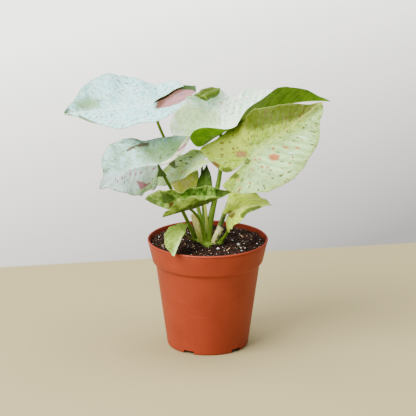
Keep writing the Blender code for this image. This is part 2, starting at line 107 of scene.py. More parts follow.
def grid_triangles(rows: int, columns: int, wrap: bool = False) -> Array:
    """Triangles of a grid of points, two to a cell. With wrap the last column meets the first."""
    index = np.arange(rows * columns).reshape(rows, columns)
    if wrap:
        index = np.concatenate([index, index[:, :1]], axis=1)
    a, b, c, d = index[:-1, :-1], index[:-1, 1:], index[1:, 1:], index[1:, :-1]
    return np.concatenate([np.stack([a, b, c], -1).reshape(-1, 3), np.stack([a, c, d], -1).reshape(-1, 3)])


def even_angles(count: int) -> Array:
    """Angles at even steps round a whole turn."""
    return np.linspace(0, 2 * pi, count, endpoint=False)


def turned(radii: Array, heights: Array, sides: int, middle: tuple[float, float] = (0.0, 0.0)) -> Array:
    """Rings of points about an upright axis.

    Args:
        radii: radius of each ring as a column, or of each of its points.
        heights: height of each ring as a column.
        sides: points on a ring.
        middle: x and y of the axis.

    Returns:
        The points, one row to a ring.
    """
    angle = even_angles(sides)
    x = middle[0] + radii * np.cos(angle)
    y = middle[1] + radii * np.sin(angle)
    return np.stack([x, y, np.broadcast_to(heights, x.shape)], -1)


def weld(points: Array, faces: Array) -> tuple[Array, Array, Array]:
    """Merges points that coincide, and drops triangles that this leaves flat.

    Returns:
        The kept points, the triangles, and which old point each kept one was.
    """
    keys = np.round(points / WELD_STEP).astype(np.int64)
    _, first, index = np.unique(keys, axis=0, return_index=True, return_inverse=True)
    faces = index.reshape(-1)[faces]
    whole = (faces[:, 0] != faces[:, 1]) & (faces[:, 1] != faces[:, 2]) & (faces[:, 0] != faces[:, 2])
    return points[first], faces[whole], first


def point_normals(points: Array, faces: Array) -> Array:
    """Unit normal at each point: the sum of its triangles' cross products."""
    corners = points[faces]
    cross = np.cross(corners[:, 1] - corners[:, 0], corners[:, 2] - corners[:, 0])
    total = np.stack([
        sum(np.bincount(faces[:, k], cross[:, axis], len(points)) for k in range(3)) for axis in range(3)
    ], -1)
    return total / np.maximum(np.linalg.norm(total, axis=1), 1e-15)[:, None]


def linear(colour: Colour) -> list[float]:
    """Linear colour with alpha from an sRGB colour of 0 to 255, by the curve that sRGB sets."""
    share = np.array(colour, float) / 255.0
    made = np.where(share <= 0.04045, share / 12.92, ((share + 0.055) / 1.055) ** 2.4)
    return [float(channel) for channel in made] + [1.0]


@dataclass
class Shape:
    """Points and triangles of a piece, what is noted at each point, and each triangle's material."""

    points: Array
    faces: Array
    notes: dict[str, Array] = field(default_factory=dict)
    skins: Array | None = None

    @staticmethod
    def joined(shapes: list["Shape"]) -> "Shape":
        """One shape that holds all the given ones."""
        starts = np.cumsum([0] + [len(shape.points) for shape in shapes[:-1]])
        return Shape(
            np.concatenate([shape.points for shape in shapes]),
            np.concatenate([shape.faces + start for shape, start in zip(shapes, starts)]),
            {name: np.concatenate([shape.notes[name] for shape in shapes]) for name in shapes[0].notes},
        )

    @staticmethod
    def tube(points: Array, notes: dict[str, Array] | None = None) -> "Shape":
        """Rings of points as one closed surface, with the points that coincide merged.

        Args:
            points: one row to a ring, in metres. The first and last rings have shrunk to a point.
            notes: what is noted at each of the points.

        Returns:
            The shape.
        """
        rows, sides = points.shape[:2]
        made, faces, kept = weld(points.reshape(-1, 3), grid_triangles(rows, sides, wrap=True))
        noted = {
            name: values.reshape((rows * sides,) + values.shape[2:])[kept]
            for name, values in (notes or {}).items()
        }
        return Shape(made, faces, noted)


def add_object(name: str, data: bpy.types.ID) -> bpy.types.Object:
    """Puts an object with its data into the scene."""
    made = bpy.data.objects.new(name, data)
    bpy.context.scene.collection.objects.link(made)
    return made


def make_piece(name: str, shape: Shape, materials: list, stands_for: str) -> bpy.types.Object:
    """Puts a shape into the scene as one piece that rides on the root body.

    Args:
        name: the piece's name.
        shape: its mesh in metres.
        materials: its materials, in the order that shape.skins counts them.
        stands_for: the CAD node that it replaces.

    Returns:
        The new object.
    """
    mesh = bpy.data.meshes.new(name)
    mesh.vertices.add(len(shape.points))
    mesh.vertices.foreach_set("co", shape.points.astype(np.float32).ravel())
    mesh.loops.add(shape.faces.size)
    mesh.loops.foreach_set("vertex_index", shape.faces.astype(np.int32).ravel())
    mesh.polygons.add(len(shape.faces))
    mesh.polygons.foreach_set("loop_start", np.arange(0, shape.faces.size, 3, dtype=np.int32))
    for material in materials:
        mesh.materials.append(material)
    if shape.skins is not None:
        mesh.polygons.foreach_set("material_index", shape.skins.astype(np.int32))
    mesh.update(calc_edges=True)
    mesh.polygons.foreach_set("use_smooth", np.ones(len(shape.faces), bool))
    for label, values in shape.notes.items():
        kind, key = ("FLOAT_VECTOR", "vector") if values.ndim == 2 else ("FLOAT", "value")
        mesh.attributes.new(label, kind, "POINT").data.foreach_set(key, values.astype(np.float32).ravel())
    piece = add_object(name, mesh)
    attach(piece, "root")
    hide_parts(stands_for)
    LOG.info("%s: %d triangles", name, len(shape.faces))
    return piece


@dataclass(frozen=True)
class Lens:
    """The one camera, at the photograph's place and angle."""

    place: Triple = (0.0002, -1.8, 0.670)
    pitch: float = 16.90
    focal: float = 188.05
    sensor: float = 36.0
    picture: float = 416.0

    @property
    def scale(self) -> float:
        """Pixels for each unit of slope from the lens's axis."""
        return self.picture * self.focal / self.sensor

    def project(self, points: Array) -> tuple[Array, Array]:
        """Picture positions of points in metres, and how far in front of the lens they are."""
        away = points - np.array(self.place)
        tilt = radians(self.pitch)
        ahead = away[..., 1] * cos(tilt) - away[..., 2] * sin(tilt)
        above = away[..., 1] * sin(tilt) + away[..., 2] * cos(tilt)
        right = self.picture / 2 + self.scale * away[..., 0] / ahead
        down = self.picture / 2 - self.scale * above / ahead
        return np.stack([right, down], -1), ahead

    def on_level(self, pixel: Pixel, height: float) -> Array:
        """The place at a height that shows at a picture position."""
        slope_right = (pixel[0] - self.picture / 2) / self.scale
        slope_up = (self.picture / 2 - pixel[1]) / self.scale
        tilt = radians(self.pitch)
        ray = np.array([slope_right, cos(tilt) + slope_up * sin(tilt), slope_up * cos(tilt) - sin(tilt)])
        return np.array(self.place) + ray * (height - self.place[2]) / ray[2]

    def set_up(self) -> None:
        """Makes the camera and gives it to the scene."""
        data = bpy.data.cameras.new("studio_camera")
        data.lens = self.focal
        data.sensor_width = self.sensor
        data.clip_end = 50.0
        camera = add_object("studio_camera", data)
        camera.location = self.place
        camera.rotation_euler = (radians(90 - self.pitch), 0.0, 0.0)
        bpy.context.scene.camera = camera


class Tree:
    """A material's node tree. Its methods add one step each and give back the step's result."""

    def __init__(self, name: str, roughness: float, specular: float = 0.5) -> None:
        self.material = bpy.data.materials.new(name)
        self.material.use_nodes = True
        self.nodes = self.material.node_tree.nodes
        self.links = self.material.node_tree.links
        self.surface = self.nodes["Principled BSDF"]
        self.surface.inputs["Roughness"].default_value = roughness
        self.surface.inputs["Specular IOR Level"].default_value = specular

    def put(self, socket: Socket, value: object) -> None:
        """Links a result to a socket, or sets the socket to a plain value."""
        if isinstance(value, Socket):
            self.links.new(value, socket)
        elif isinstance(value, tuple) and socket.type == "RGBA":
            socket.default_value = linear(value)
        else:
            socket.default_value = value

    def step(self, kind: str, inputs: dict, **settings: str) -> bpy.types.Node:
        """Adds a node.

        Args:
            kind: its type.
            inputs: value or result for its sockets, by their name or number.
            settings: its properties.

        Returns:
            The node.
        """
        made = self.nodes.new(kind)
        for name, value in settings.items():
            setattr(made, name, value)
        for key, value in inputs.items():
            self.put(made.inputs[key], value)
        return made

    def note(self, name: str, output: str = "Fac") -> Socket:
        """What is noted at each point of the mesh under a name."""
        return self.step("ShaderNodeAttribute", {}, attribute_name=name).outputs[output]

    def place(self) -> Socket:
        """Object coordinates."""
        return self.step("ShaderNodeTexCoord", {}).outputs["Object"]

    def axis(self, vector: Socket, name: str) -> Socket:
        """One axis of a vector: X, Y or Z."""
        return self.step("ShaderNodeSeparateXYZ", {0: vector}).outputs[name]

    def stretched(self, vector: Socket, scale: Triple) -> Socket:
        """A vector scaled axis by axis."""
        return self.step("ShaderNodeMapping", {"Vector": vector, "Scale": scale}).outputs["Vector"]

    def noise(self, vector: Socket, scale: float, detail: float = 2.0) -> Socket:
        """Noise from 0 to 1 with cells of 1 / scale."""
        inputs = {"Vector": vector, "Scale": scale, "Detail": detail}
        return self.step("ShaderNodeTexNoise", inputs).outputs["Fac"]

    def cells(self, vector: Socket, scale: float) -> tuple[Socket, Socket]:
        """Scattered cells: the distance to the nearest cell's middle, and that cell's own colour."""
        made = self.step("ShaderNodeTexVoronoi", {"Vector": vector, "Scale": scale})
        return made.outputs["Distance"], made.outputs["Color"]

    def sum(self, operation: str, a: object, b: object = 0.0) -> Socket:
        """One step of arithmetic, such as ABSOLUTE or SUBTRACT."""
        return self.step("ShaderNodeMath", {0: a, 1: b}, operation=operation).outputs[0]

    def plus(self, a: object, b: object) -> Socket:
        """a + b."""
        return self.sum("ADD", a, b)

    def times(self, a: object, b: object) -> Socket:
        """a times b."""
        return self.sum("MULTIPLY", a, b)

    def rise(self, value: object, low: float, high: float, top: float = 1.0) -> Socket:
        """Smooth step of a value: 0 at low and top at high. With low above high it falls."""
        falls = low > high
        inputs = {
            "Value": value, "From Min": min(low, high), "From Max": max(low, high),
            "To Min": top if falls else 0.0, "To Max": 0.0 if falls else top,
        }
        return self.step("ShaderNodeMapRange", inputs, interpolation_type="SMOOTHSTEP").outputs["Result"]

    def mix(self, share: object, a: object, b: object) -> Socket:
        """Colour that is a at share 0 and b at share 1."""
        return self.step("ShaderNodeMix", {"Factor": share, 6: a, 7: b}, data_type="RGBA").outputs[2]

    def wash(self, shade: object, dye: Dye, value: object, low: float, high: float) -> Socket:
        """Lays a dye over a shade as far as a value rises from low to high."""
        colour, cover = dye
        return self.mix(self.rise(value, low, high, cover), shade, colour)

    def line(self, phase: object, spacing: float, width: float) -> Socket:
        """1 on lines where a phase is a whole number, fading to 0 at a width in the spacing's units."""
        shifted = self.sum("FRACT", self.plus(phase, 0.5))
        away = self.times(self.sum("ABSOLUTE", self.sum("SUBTRACT", shifted, 0.5)), spacing)
        return self.rise(away, width, 0.0)

    def bump(self, height: object, depth: float, strength: float = 1.0) -> None:
        """Raises the surface by a height of 0 to 1 times a depth in metres."""
        made = self.step("ShaderNodeBump", {"Strength": strength, "Distance": depth, "Height": height})
        self.put(self.surface.inputs["Normal"], made.outputs["Normal"])

    def colour(self, value: object) -> bpy.types.Material:
        """Gives the surface its colour and returns the finished material."""
        self.put(self.surface.inputs["Base Color"], value)
        return self.material


@dataclass(frozen=True)
class MarkColour:
    """Colour of a leaf marking (the leaf's own colouring, or painted shade or highlight), how soft its edge
    is (0 to 1), how ragged, and how strongly it covers.
    """

    colour: Colour
    soft: float = 0.18
    ragged: float = 0.5
    cover: float = 1.0


class StainAndPaintedLight(Enum):
    """The markings that a marbled leaf carries: its own colouring, and patches of painted shade and painted
    highlight laid the same way.
    """

    PINK = MarkColour((192, 100, 142), 0.35, 0.8, 0.92)
    ROSE = MarkColour((164, 86, 90), 0.35, 0.7, 0.94)
    MAUVE = MarkColour((128, 74, 60), 0.6, 1.0, 0.8)
    # BROWN is also laid as painted shade in the upper left leaf's pocket
    BROWN = MarkColour((84, 46, 12), 0.6, 1.2, 0.94)
    SALMON = MarkColour((186, 92, 58), 0.45, 0.8, 0.9)
    DARK = MarkColour((76, 78, 36), 0.40, 0.9, 0.9)
    GREEN = MarkColour((112, 148, 62), 0.9, 1.6, 0.85)
    # OLIVE is also laid as painted shade: the upper right leaf's shadow on the large right leaf
    OLIVE = MarkColour((66, 80, 14), 0.8, 1.0, 0.96)
    FRESH = MarkColour((34, 78, 0), 0.35, 0.5)
    # DEEP is also laid as painted shade where the low right leaf's edge rolls under
    DEEP = MarkColour((46, 70, 18), 0.40, 0.6, 0.92)
    LIME = MarkColour((194, 230, 108), 0.7, 1.8, 0.7)
    MOSS = MarkColour((160, 196, 80), 0.9, 3.0, 0.6)
    OCHRE = MarkColour((150, 168, 54), 0.8, 1.6, 0.8)
    # PALE is also laid as a painted highlight down the small drooping leaf
    PALE = MarkColour((184, 226, 164), 0.9, 1.4, 0.85)
    CREAM = MarkColour((252, 252, 222), 0.5, 0.8, 0.85)
    # WHITE is also laid as painted highlights on the large right leaf and as partly painted light on the
    # middle left leaf
    WHITE = MarkColour((222, 252, 255), 0.7, 1.2, 0.8)

    @property
    def label(self) -> str:
        """Name under which the mesh notes the marking's field."""
        return "stain_" + self.name.lower()


@dataclass(frozen=True)
class Mark:
    """A spot on a leaf: where it shows in the picture, its length and width in millimetres.

    It lies along the side vein there.
    """

    stain_or_light: StainAndPaintedLight
    at: Pixel
    long: float
    wide: float
    under: bool = False


@dataclass(frozen=True)
class Patch:
    """A marking with an outline of picture positions, on one side of the leaf or on both (0). Some are
    painted shade or painted highlight.
    """

    stain_or_light: StainAndPaintedLight
    outline: tuple[Pixel, ...]
    side: int = 0
    soft: float = 3.0
    under: bool = False

    def field(self, pixels: Array) -> Array:
        """Distance inside the outline in units of its softness, 0 on it and below 0 outside.

        The distance is to the nearest edge, and a place is inside when a ray crosses the
        outline an odd number of times.
        """
        corners = np.array(self.outline, float)
        inside = np.zeros(len(pixels), bool)
        nearest = np.full(len(pixels), np.inf)
        for start, end in zip(corners, np.roll(corners, -1, axis=0)):
            run = end - start
            share = np.clip(((pixels - start) @ run) / (run @ run), 0, 1)
            nearest = np.minimum(nearest, np.linalg.norm(pixels - start - share[:, None] * run, axis=1))
            beside = (start[1] > pixels[:, 1]) != (end[1] > pixels[:, 1])
            crossing = start[0] + (pixels[:, 1] - start[1]) * run[0] / (run[1] if run[1] else TINY)
            inside ^= beside & (pixels[:, 0] < crossing)
        return np.clip(np.where(inside, nearest, -nearest) / self.soft, -1, 1)


@dataclass(frozen=True)
class LeafFinish:
    """Colours of a leaf.

    Over the ground and its mottle lie clouds of tint, streaks along the side veins and a net of
    the same colour, the veins, the leaf's markings (its own colouring, and patches of painted
    shade and painted highlight), flecks and the margin. A fleck's cover is the share of places
    that have one. The underside has two tones of its own.
    """

    ground: Colour
    mottle: Colour
    under: tuple[Colour, Colour]
    streak: Dye
    vein: Dye
    fleck: Dye
    margin: Dye = ((150, 172, 96), 0.6)
    tint: Dye = ((190, 200, 190), 0.0)
    net_cover: float = 0.25
    mottle_share: float = 0.5
    mottle_size: float = 9.0
    roughness: float = 0.44
    shine: float = 0.25

    def upper_skin(self, name: str, stains_and_light: list[StainAndPaintedLight]) -> bpy.types.Material:
        """Material of the upper face, with the leaf's markings, painted shade and highlights among them,
        laid over its ground.
        """
        tree = Tree(name + "_upper", self.roughness, self.shine)
        flat, grain = tree.note("flat", "Vector"), tree.note("grain", "Vector")
        across, phase = tree.note("across"), tree.note("phase")
        vein, vein_cover = self.vein
        patches = tree.noise(flat, CM / self.mottle_size, detail=4.0)
        edge = 0.62 - 0.24 * self.mottle_share
        shade = tree.wash(self.ground, (self.mottle, 1.0), patches, edge - 0.1, edge + 0.1)
        clouds = tree.noise(tree.stretched(flat, (1.0, 1.7, 1.0)), scale=3.1, detail=5.0)
        shade = tree.wash(shade, self.tint, clouds, low=0.47, high=0.60)
        streaks = tree.noise(tree.stretched(grain, (5.0, 1.5, 1.0)), scale=1.0, detail=4.0)
        shade = tree.wash(shade, self.streak, streaks, low=0.50, high=0.64)
        net = tree.noise(flat, scale=5.5, detail=4.0)
        shade = tree.wash(shade, (self.streak[0], self.net_cover), net, low=0.53, high=0.64)
        veins = tree.line(phase, spacing=1.0, width=0.10)
        fine = tree.line(tree.times(phase, 4.0), spacing=1.0, width=0.22)
        broken = tree.rise(tree.noise(flat, scale=2.2), low=0.3, high=0.6, top=vein_cover)
        shade = tree.mix(tree.times(veins, broken), shade, vein)
        shade = tree.mix(tree.times(fine, 0.25 * vein_cover), shade, vein)
        for stain_or_light in stains_and_light:
            shade = self.with_stain_or_light(tree, shade, stain_or_light, flat)
        fleck, fleck_share = self.fleck
        away, own = tree.cells(tree.stretched(grain, (2.6, 2.2, 1.0)), scale=1.0)
        rare = tree.rise(own, 0.86 - fleck_share, 0.88 - fleck_share)
        specks = tree.rise(away, low=0.36, high=0.16, top=0.8)
        shade = tree.mix(tree.times(specks, rare), shade, fleck)
        shade = tree.wash(shade, (vein, 1.3 * vein_cover), across, low=0.9, high=0.3)
        beside = tree.rise(across, low=5.0, high=0.0, top=0.9)
        shade = tree.mix(tree.times(beside, broken), shade, vein)
        shade = tree.wash(shade, self.margin, tree.note("edge"), low=1.0, high=0.2)
        tissue = tree.noise(flat, scale=18.0)
        relief = tree.sum("SUBTRACT", tissue, tree.times(veins, 0.8))
        tree.bump(relief, depth=0.00025, strength=0.5)
        return tree.colour(shade)

    @staticmethod
    def with_stain_or_light(tree: Tree, shade: object, stain_or_light: StainAndPaintedLight, flat: object) -> object:
        """Lays one marking, painted light included, over a colour. Noise makes its edge ragged and thins
        its middle a little.
        """
        mark_colour = stain_or_light.value
        rough = tree.sum("SUBTRACT", tree.noise(flat, scale=9.0, detail=3.0), 0.5)
        height = tree.plus(tree.note(stain_or_light.label), tree.times(rough, mark_colour.ragged))
        cover = tree.rise(height, -mark_colour.soft, mark_colour.soft, mark_colour.cover)
        thinned = tree.rise(tree.noise(flat, scale=26.0), low=0.35, high=0.5, top=0.35)
        return tree.mix(tree.times(cover, tree.plus(thinned, 0.65)), shade, mark_colour.colour)

    def under_skin(self, name: str, stains_and_light: list[StainAndPaintedLight]) -> bpy.types.Material:
        """Material of the underside: two tones, with paler raised veins."""
        tree = Tree(name + "_under", self.roughness + 0.06, specular=0.22)
        flat = tree.note("flat", "Vector")
        tone, mottle = self.under
        shade = tree.wash(tone, (mottle, 1.0), tree.noise(flat, scale=1.3, detail=4.0), low=0.38, high=0.66)
        for stain_or_light in stains_and_light:
            shade = self.with_stain_or_light(tree, shade, stain_or_light, flat)
        veins = tree.line(tree.note("phase"), spacing=1.0, width=0.09)
        pale = tuple(0.72 * channel + 0.28 * 235 for channel in tone)
        shade = tree.mix(tree.times(veins, 0.35), shade, pale)
        shade = tree.wash(shade, (pale, 0.7), tree.note("across"), low=1.1, high=0.5)
        tree.bump(tree.plus(tree.noise(flat, scale=16.0), veins), depth=0.0003, strength=0.5)
        return tree.colour(shade)


@dataclass(frozen=True)
class Half:
    """One side of a blade. Lengths are millimetres, angles degrees, places a share from lobe to tip.

    fold: how steeply the side rises at the petiole and at the tip, and what the lobe adds.
    curl: how far the section turns up to the margin at the petiole, at the tip and in the lobe.
    notch: depth, place and width of a notch in the margin.
    flap: reach, turn, place and width of a rolled flap on the margin.
    swell: what a part of the side adds to its fold, with its place and width.
    lobe_rise: how far the whole lobe is raised.
    tuck: how steeply the lobe's inner edge rises where it lies past the midrib.
    """

    width: float
    spread: float
    back: float
    sinus: float = 1.2
    blunt: float = 0.5
    taper: float = 1.0
    sharp: float = 0.25
    fold: Triple = (10.0, 10.0, 0.0)
    curl: Triple = (-10.0, -10.0, -10.0)
    notch: Triple = (0.0, 0.5, 0.05)
    flap: tuple[float, float, float, float] = (0.0, 0.0, 0.5, 0.1)
    swell: Triple = (0.0, 0.4, 0.1)
    lobe_rise: float = 0.0
    tuck: float = 0.0

    POINT_AT, POINT_WIDTH = 0.92, 0.055
    SAMPLES = 10
    HINGE, ROLLED = 1.25, 0.6  # where a flap starts to turn and over what length, in its reaches
    RISE_SPEED = 2.5  # the lobe is fully raised at 1 / this of its length

    def margin(self, place: Array, lobe: Array) -> Array:
        """How far the margin is from the midrib's line, without its raggedness and flap.

        It follows place^blunt (1 - place)^taper, moved out to the lobe's spread behind the
        petiole, with the notch taken off and the tip drawn in to a narrow point.
        """
        peak = self.blunt / (self.blunt + self.taper)
        margin = self.width * (place / peak) ** self.blunt * ((1 - place) / (1 - peak)) ** self.taper
        margin = margin * (1 - ease(lobe) * np.clip(self.spread / self.width, 0, 1))
        margin = margin + self.spread * ease(lobe)
        depth, notch_at, notch_width = self.notch
        margin = margin - depth * hill(place, notch_at, notch_width)
        return margin * (1 - self.sharp * hill(place, self.POINT_AT, self.POINT_WIDTH))

    def section(self, along: Array, x: Array, margin: Array, place: Array, lobe: Array) -> tuple:
        """Reach and height of points along the turning section, by Gauss quadrature.

        Args:
            along: distance of each point along the midrib.
            x: its distance across the flattened blade.
            margin: distance of the margin across there.
            place: share of the way from the lobe's end to the tip.
            lobe: share of the way from the petiole back to the lobe's end.

        Returns:
            How far out of the midrib each point is, and how far above it.
        """
        fold, fold_tip, lobe_lift = self.fold
        curl, curl_tip, lobe_curl = self.curl
        swell, swell_at, swell_width = self.swell
        reach, turn, flap_at, flap_width = self.flap
        share = np.clip(along / np.max(along), 0.0, 1.0)
        swollen = swell * hill(place, swell_at, swell_width)
        steep = np.radians(fold + (fold_tip - fold) * share + lobe_lift * ease(lobe) + swollen)
        curled = curl + (curl_tip - curl) * share + (lobe_curl - curl) * ease(lobe)
        nodes, weights = np.polynomial.legendre.leggauss(self.SAMPLES)
        sample = x[..., None] * (nodes + 1) / 2
        angle = steep[..., None] + np.radians(curled)[..., None] * sample / self.width
        tuck = radians(self.tuck) * np.sin(pi * lobe) ** 2 / max(abs(self.spread), 1.0)
        angle = angle + tuck[..., None] * np.minimum(sample, 0.0)
        if reach:
            flap = hill(place, flap_at, flap_width, 4)
            hinge = margin - self.HINGE * reach * flap
            past = (sample - hinge[..., None]) / (self.ROLLED * reach)
            angle = angle + (np.radians(turn) * flap)[..., None] * ease(past)
        reached = x * (np.cos(angle) * weights / 2).sum(-1)
        raised = x * (np.sin(angle) * weights / 2).sum(-1) + self.lobe_rise * ease(self.RISE_SPEED * lobe)
        return reached, raised


@dataclass(frozen=True)
class Blade:
    """A leaf: where its petiole meets it, how its midrib runs, its two sides, and its finish."""

    name: str
    at: Triple
    yaw: float
    pitch: float
    roll: float
    length: float
    left: Half
    right: Half
    finish: LeafFinish | None = None
    marks: tuple = ()
    droop: float = 0.0
    tip_droop: float = 0.0
    back_rise: float = 0.0
    swerve: float = 0.0
    twist: float = 0.0
    edge_bias: float = 1.0
    fineness: float = 0.55
    vein_gap: float = 6.0
    ripple: float = 0.3
    pucker: float = 0.3
    wave: float = 1.3
    waves: float = 2.6
    thickness: float = 0.5

    # Lengths are in millimetres.
    LEAST_LOBE_ROWS, LEAST_ROWS, LEAST_COLUMNS = 6, 12, 8
    MIDRIB_STEPS, MIDRIB_OVERRUN = 400, 1.02
    EVEN_SHARE = 0.4  # how much of the rows' spacing is even; the rest is closer towards the tip
    RAGGED_SIZE, RAGGED_DEPTH = 8.0, 0.035
    LEAST_REACH = 1e-6
    VEIN_CALM, MARGIN_CALM, WAVE_REACH = 4.0, 3.0, 24.0  # where the relief has grown to its full height
    PUCKER_SIZE, SIDE_SHIFT = 9.0, 1.9
    EDGE_THICKNESS, EDGE_REACH = 0.35, 1.2
    RIB_DEPTH, RIB_WIDTH, RIB_FLARE, RIB_LEAST = 0.9, 0.5, 0.9, 0.1
    VEIN_SWEEP, VEIN_BEND, VEIN_SLOPE = 0.75, 0.004, 0.8
    VEIN_FAN = 20.0  # degrees between the veins behind the petiole
    PIXEL_REACH = 0.9  # of the points this much further off than the best, the foremost one counts

    @property
    def slot(self) -> str:
        """The record's material slot and CAD node of this leaf."""
        return "leaf_" + self.name

    def midrib(self, along: Array) -> tuple[Array, Array, Array]:
        """Midrib points at distances along it, and the directions across the blade and out of its top.

        The heading changes evenly with distance, and the path is the running sum of it.
        """
        longest = max(self.left.back, self.right.back)
        steps = np.linspace(-longest * self.MIDRIB_OVERRUN, self.length, self.MIDRIB_STEPS)

        def headings(distance: Array) -> tuple[Array, Array]:
            share = distance / self.length
            ahead = np.maximum(share, 0.0)
            pitch = self.pitch - self.droop * ahead - self.tip_droop * ahead**2
            pitch = pitch - self.back_rise * np.minimum(share, 0.0)
            return np.radians(pitch), np.radians(self.yaw + self.swerve * ahead)

        pitch, yaw = headings(steps)
        course = np.stack([np.cos(pitch) * np.cos(yaw), np.cos(pitch) * np.sin(yaw), np.sin(pitch)], -1)
        moved = np.cumsum((course[1:] + course[:-1]) / 2 * (steps[1] - steps[0]), axis=0)
        path = np.concatenate([np.zeros((1, 3)), moved])
        path -= [np.interp(0.0, steps, path[:, axis]) for axis in range(3)]
        path += np.array(self.at, float)
        centre = np.stack([np.interp(along, steps, path[:, axis]) for axis in range(3)], -1)
        pitch, yaw = headings(along)
        roll = np.radians(self.roll + self.twist * along / self.length)[..., None]
        level = np.stack([-np.sin(yaw), np.cos(yaw), 0 * yaw], -1)
        above = np.stack([-np.sin(pitch) * np.cos(yaw), -np.sin(pitch) * np.sin(yaw), np.cos(pitch)], -1)
        return (
            centre,
            level * np.cos(roll) + above * np.sin(roll),
            above * np.cos(roll) - level * np.sin(roll),
        )

    def side_grid(self, half: Half, sign: int) -> Shape:
        """Grid of one side of the blade, in millimetres.

        Its rows run along the blade from the lobe's end to the tip, and its columns across it
        from the sinus or the midrib to the margin. The section turns by fold + curl x / width,
        so a point's reach and height are integrals of cosine and sine.
        """
        lobe_rows = max(self.LEAST_LOBE_ROWS, round(half.back / self.fineness))
        rows = max(self.LEAST_ROWS, round(self.length / self.fineness))
        columns = max(self.LEAST_COLUMNS, round(half.width / self.fineness))
        lobe_places = -half.back * np.cos(np.linspace(0, 1, lobe_rows + 1) * pi / 2)
        lobe_places[-1] = 0.0
        steps = np.linspace(0, 1, rows + 1)[1:]
        closer = (1 - self.EVEN_SHARE) * np.sin(steps * pi / 2)
        blade_places = self.length * (self.EVEN_SHARE * steps + closer)
        along = np.concatenate([lobe_places, blade_places])[:, None]
        across = 1 - (1 - np.linspace(0, 1, columns + 1)[None, :]) ** self.edge_bias
        along, across = np.broadcast_arrays(along, across)
        place = (along + half.back) / (self.length + half.back)
        lobe = np.clip(-along / half.back, 0.0, 1.0)
        ragged = layered_noise(along, 0 * along + 40 * sign + self.yaw, self.RAGGED_SIZE, seed=17)
        margin = half.margin(place, lobe) * (1 + self.RAGGED_DEPTH * ragged * np.sin(pi * place))
        flap_reach, _, flap_at, flap_width = half.flap
        margin = margin + flap_reach * hill(place, flap_at, flap_width, 4)
        inner = half.spread * lobe**half.sinus
        ends = (place < TINY) | (place > 1 - TINY)
        reach = np.where(ends, 0.0, np.maximum(margin - inner, self.LEAST_REACH))
        x = inner + reach * across
        reached, raised = half.section(along, x, margin, place, lobe)
        centre, outward, upward = self.midrib(along)
        points = centre + sign * outward * reached[..., None] + upward * raised[..., None]
        faces = grid_triangles(*along.shape)
        notes = {
            "along": along, "x": x, "side": 0 * x + sign,
            "across": np.where(along > 0, x, np.hypot(along, x)),
            "edge": np.minimum(reach * (1 - across), np.where(along < 0, reach * across, np.inf)),
        }
        return Shape(
            points.reshape(-1, 3), faces[:, ::-1] if sign > 0 else faces,
            {name: values.reshape(-1).copy() for name, values in notes.items()},
        )

    def vein_phase(self, along: Array, x: Array) -> Array:
        """Number that is whole on each side vein.

        Ahead of the petiole the veins leave the midrib every vein_gap and sweep forward, a
        little more the further they reach. Behind it they fan out from the petiole.
        """
        start = along - self.VEIN_SWEEP * x - self.VEIN_BEND * x * x
        foremost = np.arctan2(1.0, self.VEIN_SWEEP + self.VEIN_BEND * x)
        fan = np.degrees(np.arctan2(np.abs(x), along)) - np.degrees(foremost)
        return np.where(start >= 0, start / self.vein_gap, -np.maximum(fan, 0.0) / self.VEIN_FAN)

    def surface(self) -> Shape:
        """Both sides as one sheet in metres, with relief along its normals.

        The relief is a cosine of the vein phase and slow noise, both calm beside the midrib and
        the margin, and a wave that grows to the margin.
        """
        sheet = Shape.joined([self.side_grid(self.left, 1), self.side_grid(self.right, -1)])
        points, faces, kept = weld(sheet.points * MM, sheet.faces)
        notes = {name: values[kept] for name, values in sheet.notes.items()}
        along, x, side = notes["along"], notes["x"], notes["side"]
        phase = self.vein_phase(along, x)
        calm = ease(x / self.VEIN_CALM) * ease(notes["edge"] / self.MARGIN_CALM)
        quilt = -0.5 * self.ripple * np.cos(2 * pi * phase) * calm
        quilt += self.pucker * layered_noise(along, x * side, self.PUCKER_SIZE, seed=3) * calm
        swing = np.sin(2 * pi * self.waves * along / self.length + self.SIDE_SHIFT * side + self.yaw)
        quilt += self.wave * swing * ease(x / self.WAVE_REACH)
        points = points + point_normals(points, faces) * quilt[:, None] * MM
        notes["phase"] = phase
        notes["flat"] = np.stack([along, x * side, 0 * phase], -1) / CM
        notes["grain"] = np.stack([phase, x / CM, 5.0 * side], -1)
        return Shape(points, faces, notes)

    def solid(self, sheet: Shape) -> Shape:
        """The sheet with its thickness, thinner at the margin and thicker under the midrib.

        The upper face is the sheet raised along its normals, and the lower face is the sheet
        lowered. A band of triangles closes each open edge.
        """
        normals = point_normals(sheet.points, sheet.faces)
        full = ease(sheet.notes["edge"] / self.EDGE_REACH)
        half = 0.5 * self.thickness * (self.EDGE_THICKNESS + (1 - self.EDGE_THICKNESS) * full) * MM
        taper = np.clip(1 - sheet.notes["along"] / self.length, self.RIB_LEAST, 1.0)
        width = self.RIB_WIDTH + self.RIB_FLARE * taper
        rib = self.RIB_DEPTH * taper * hill(sheet.notes["across"], 0.0, width) * MM
        count = len(sheet.points)
        edges = np.concatenate([sheet.faces[:, [0, 1]], sheet.faces[:, [1, 2]], sheet.faces[:, [2, 0]]])
        _, first, times = np.unique(np.sort(edges, axis=1), axis=0, return_index=True, return_counts=True)
        start, end = edges[first[times == 1]].T
        rim = np.concatenate([
            np.stack([end, start, start + count], -1), np.stack([end, start + count, end + count], -1),
        ])
        notes = {name: np.concatenate([values, values]) for name, values in sheet.notes.items()}
        notes["underside"] = np.repeat([0.0, 1.0], count)
        return Shape(
            np.concatenate([
                sheet.points + normals * half[:, None],
                sheet.points - normals * (half + rib)[:, None],
            ]),
            np.concatenate([sheet.faces, sheet.faces[:, ::-1] + count, rim]),
            notes,
            np.repeat([0, 1, 1], [len(sheet.faces), len(sheet.faces), len(rim)]),
        )

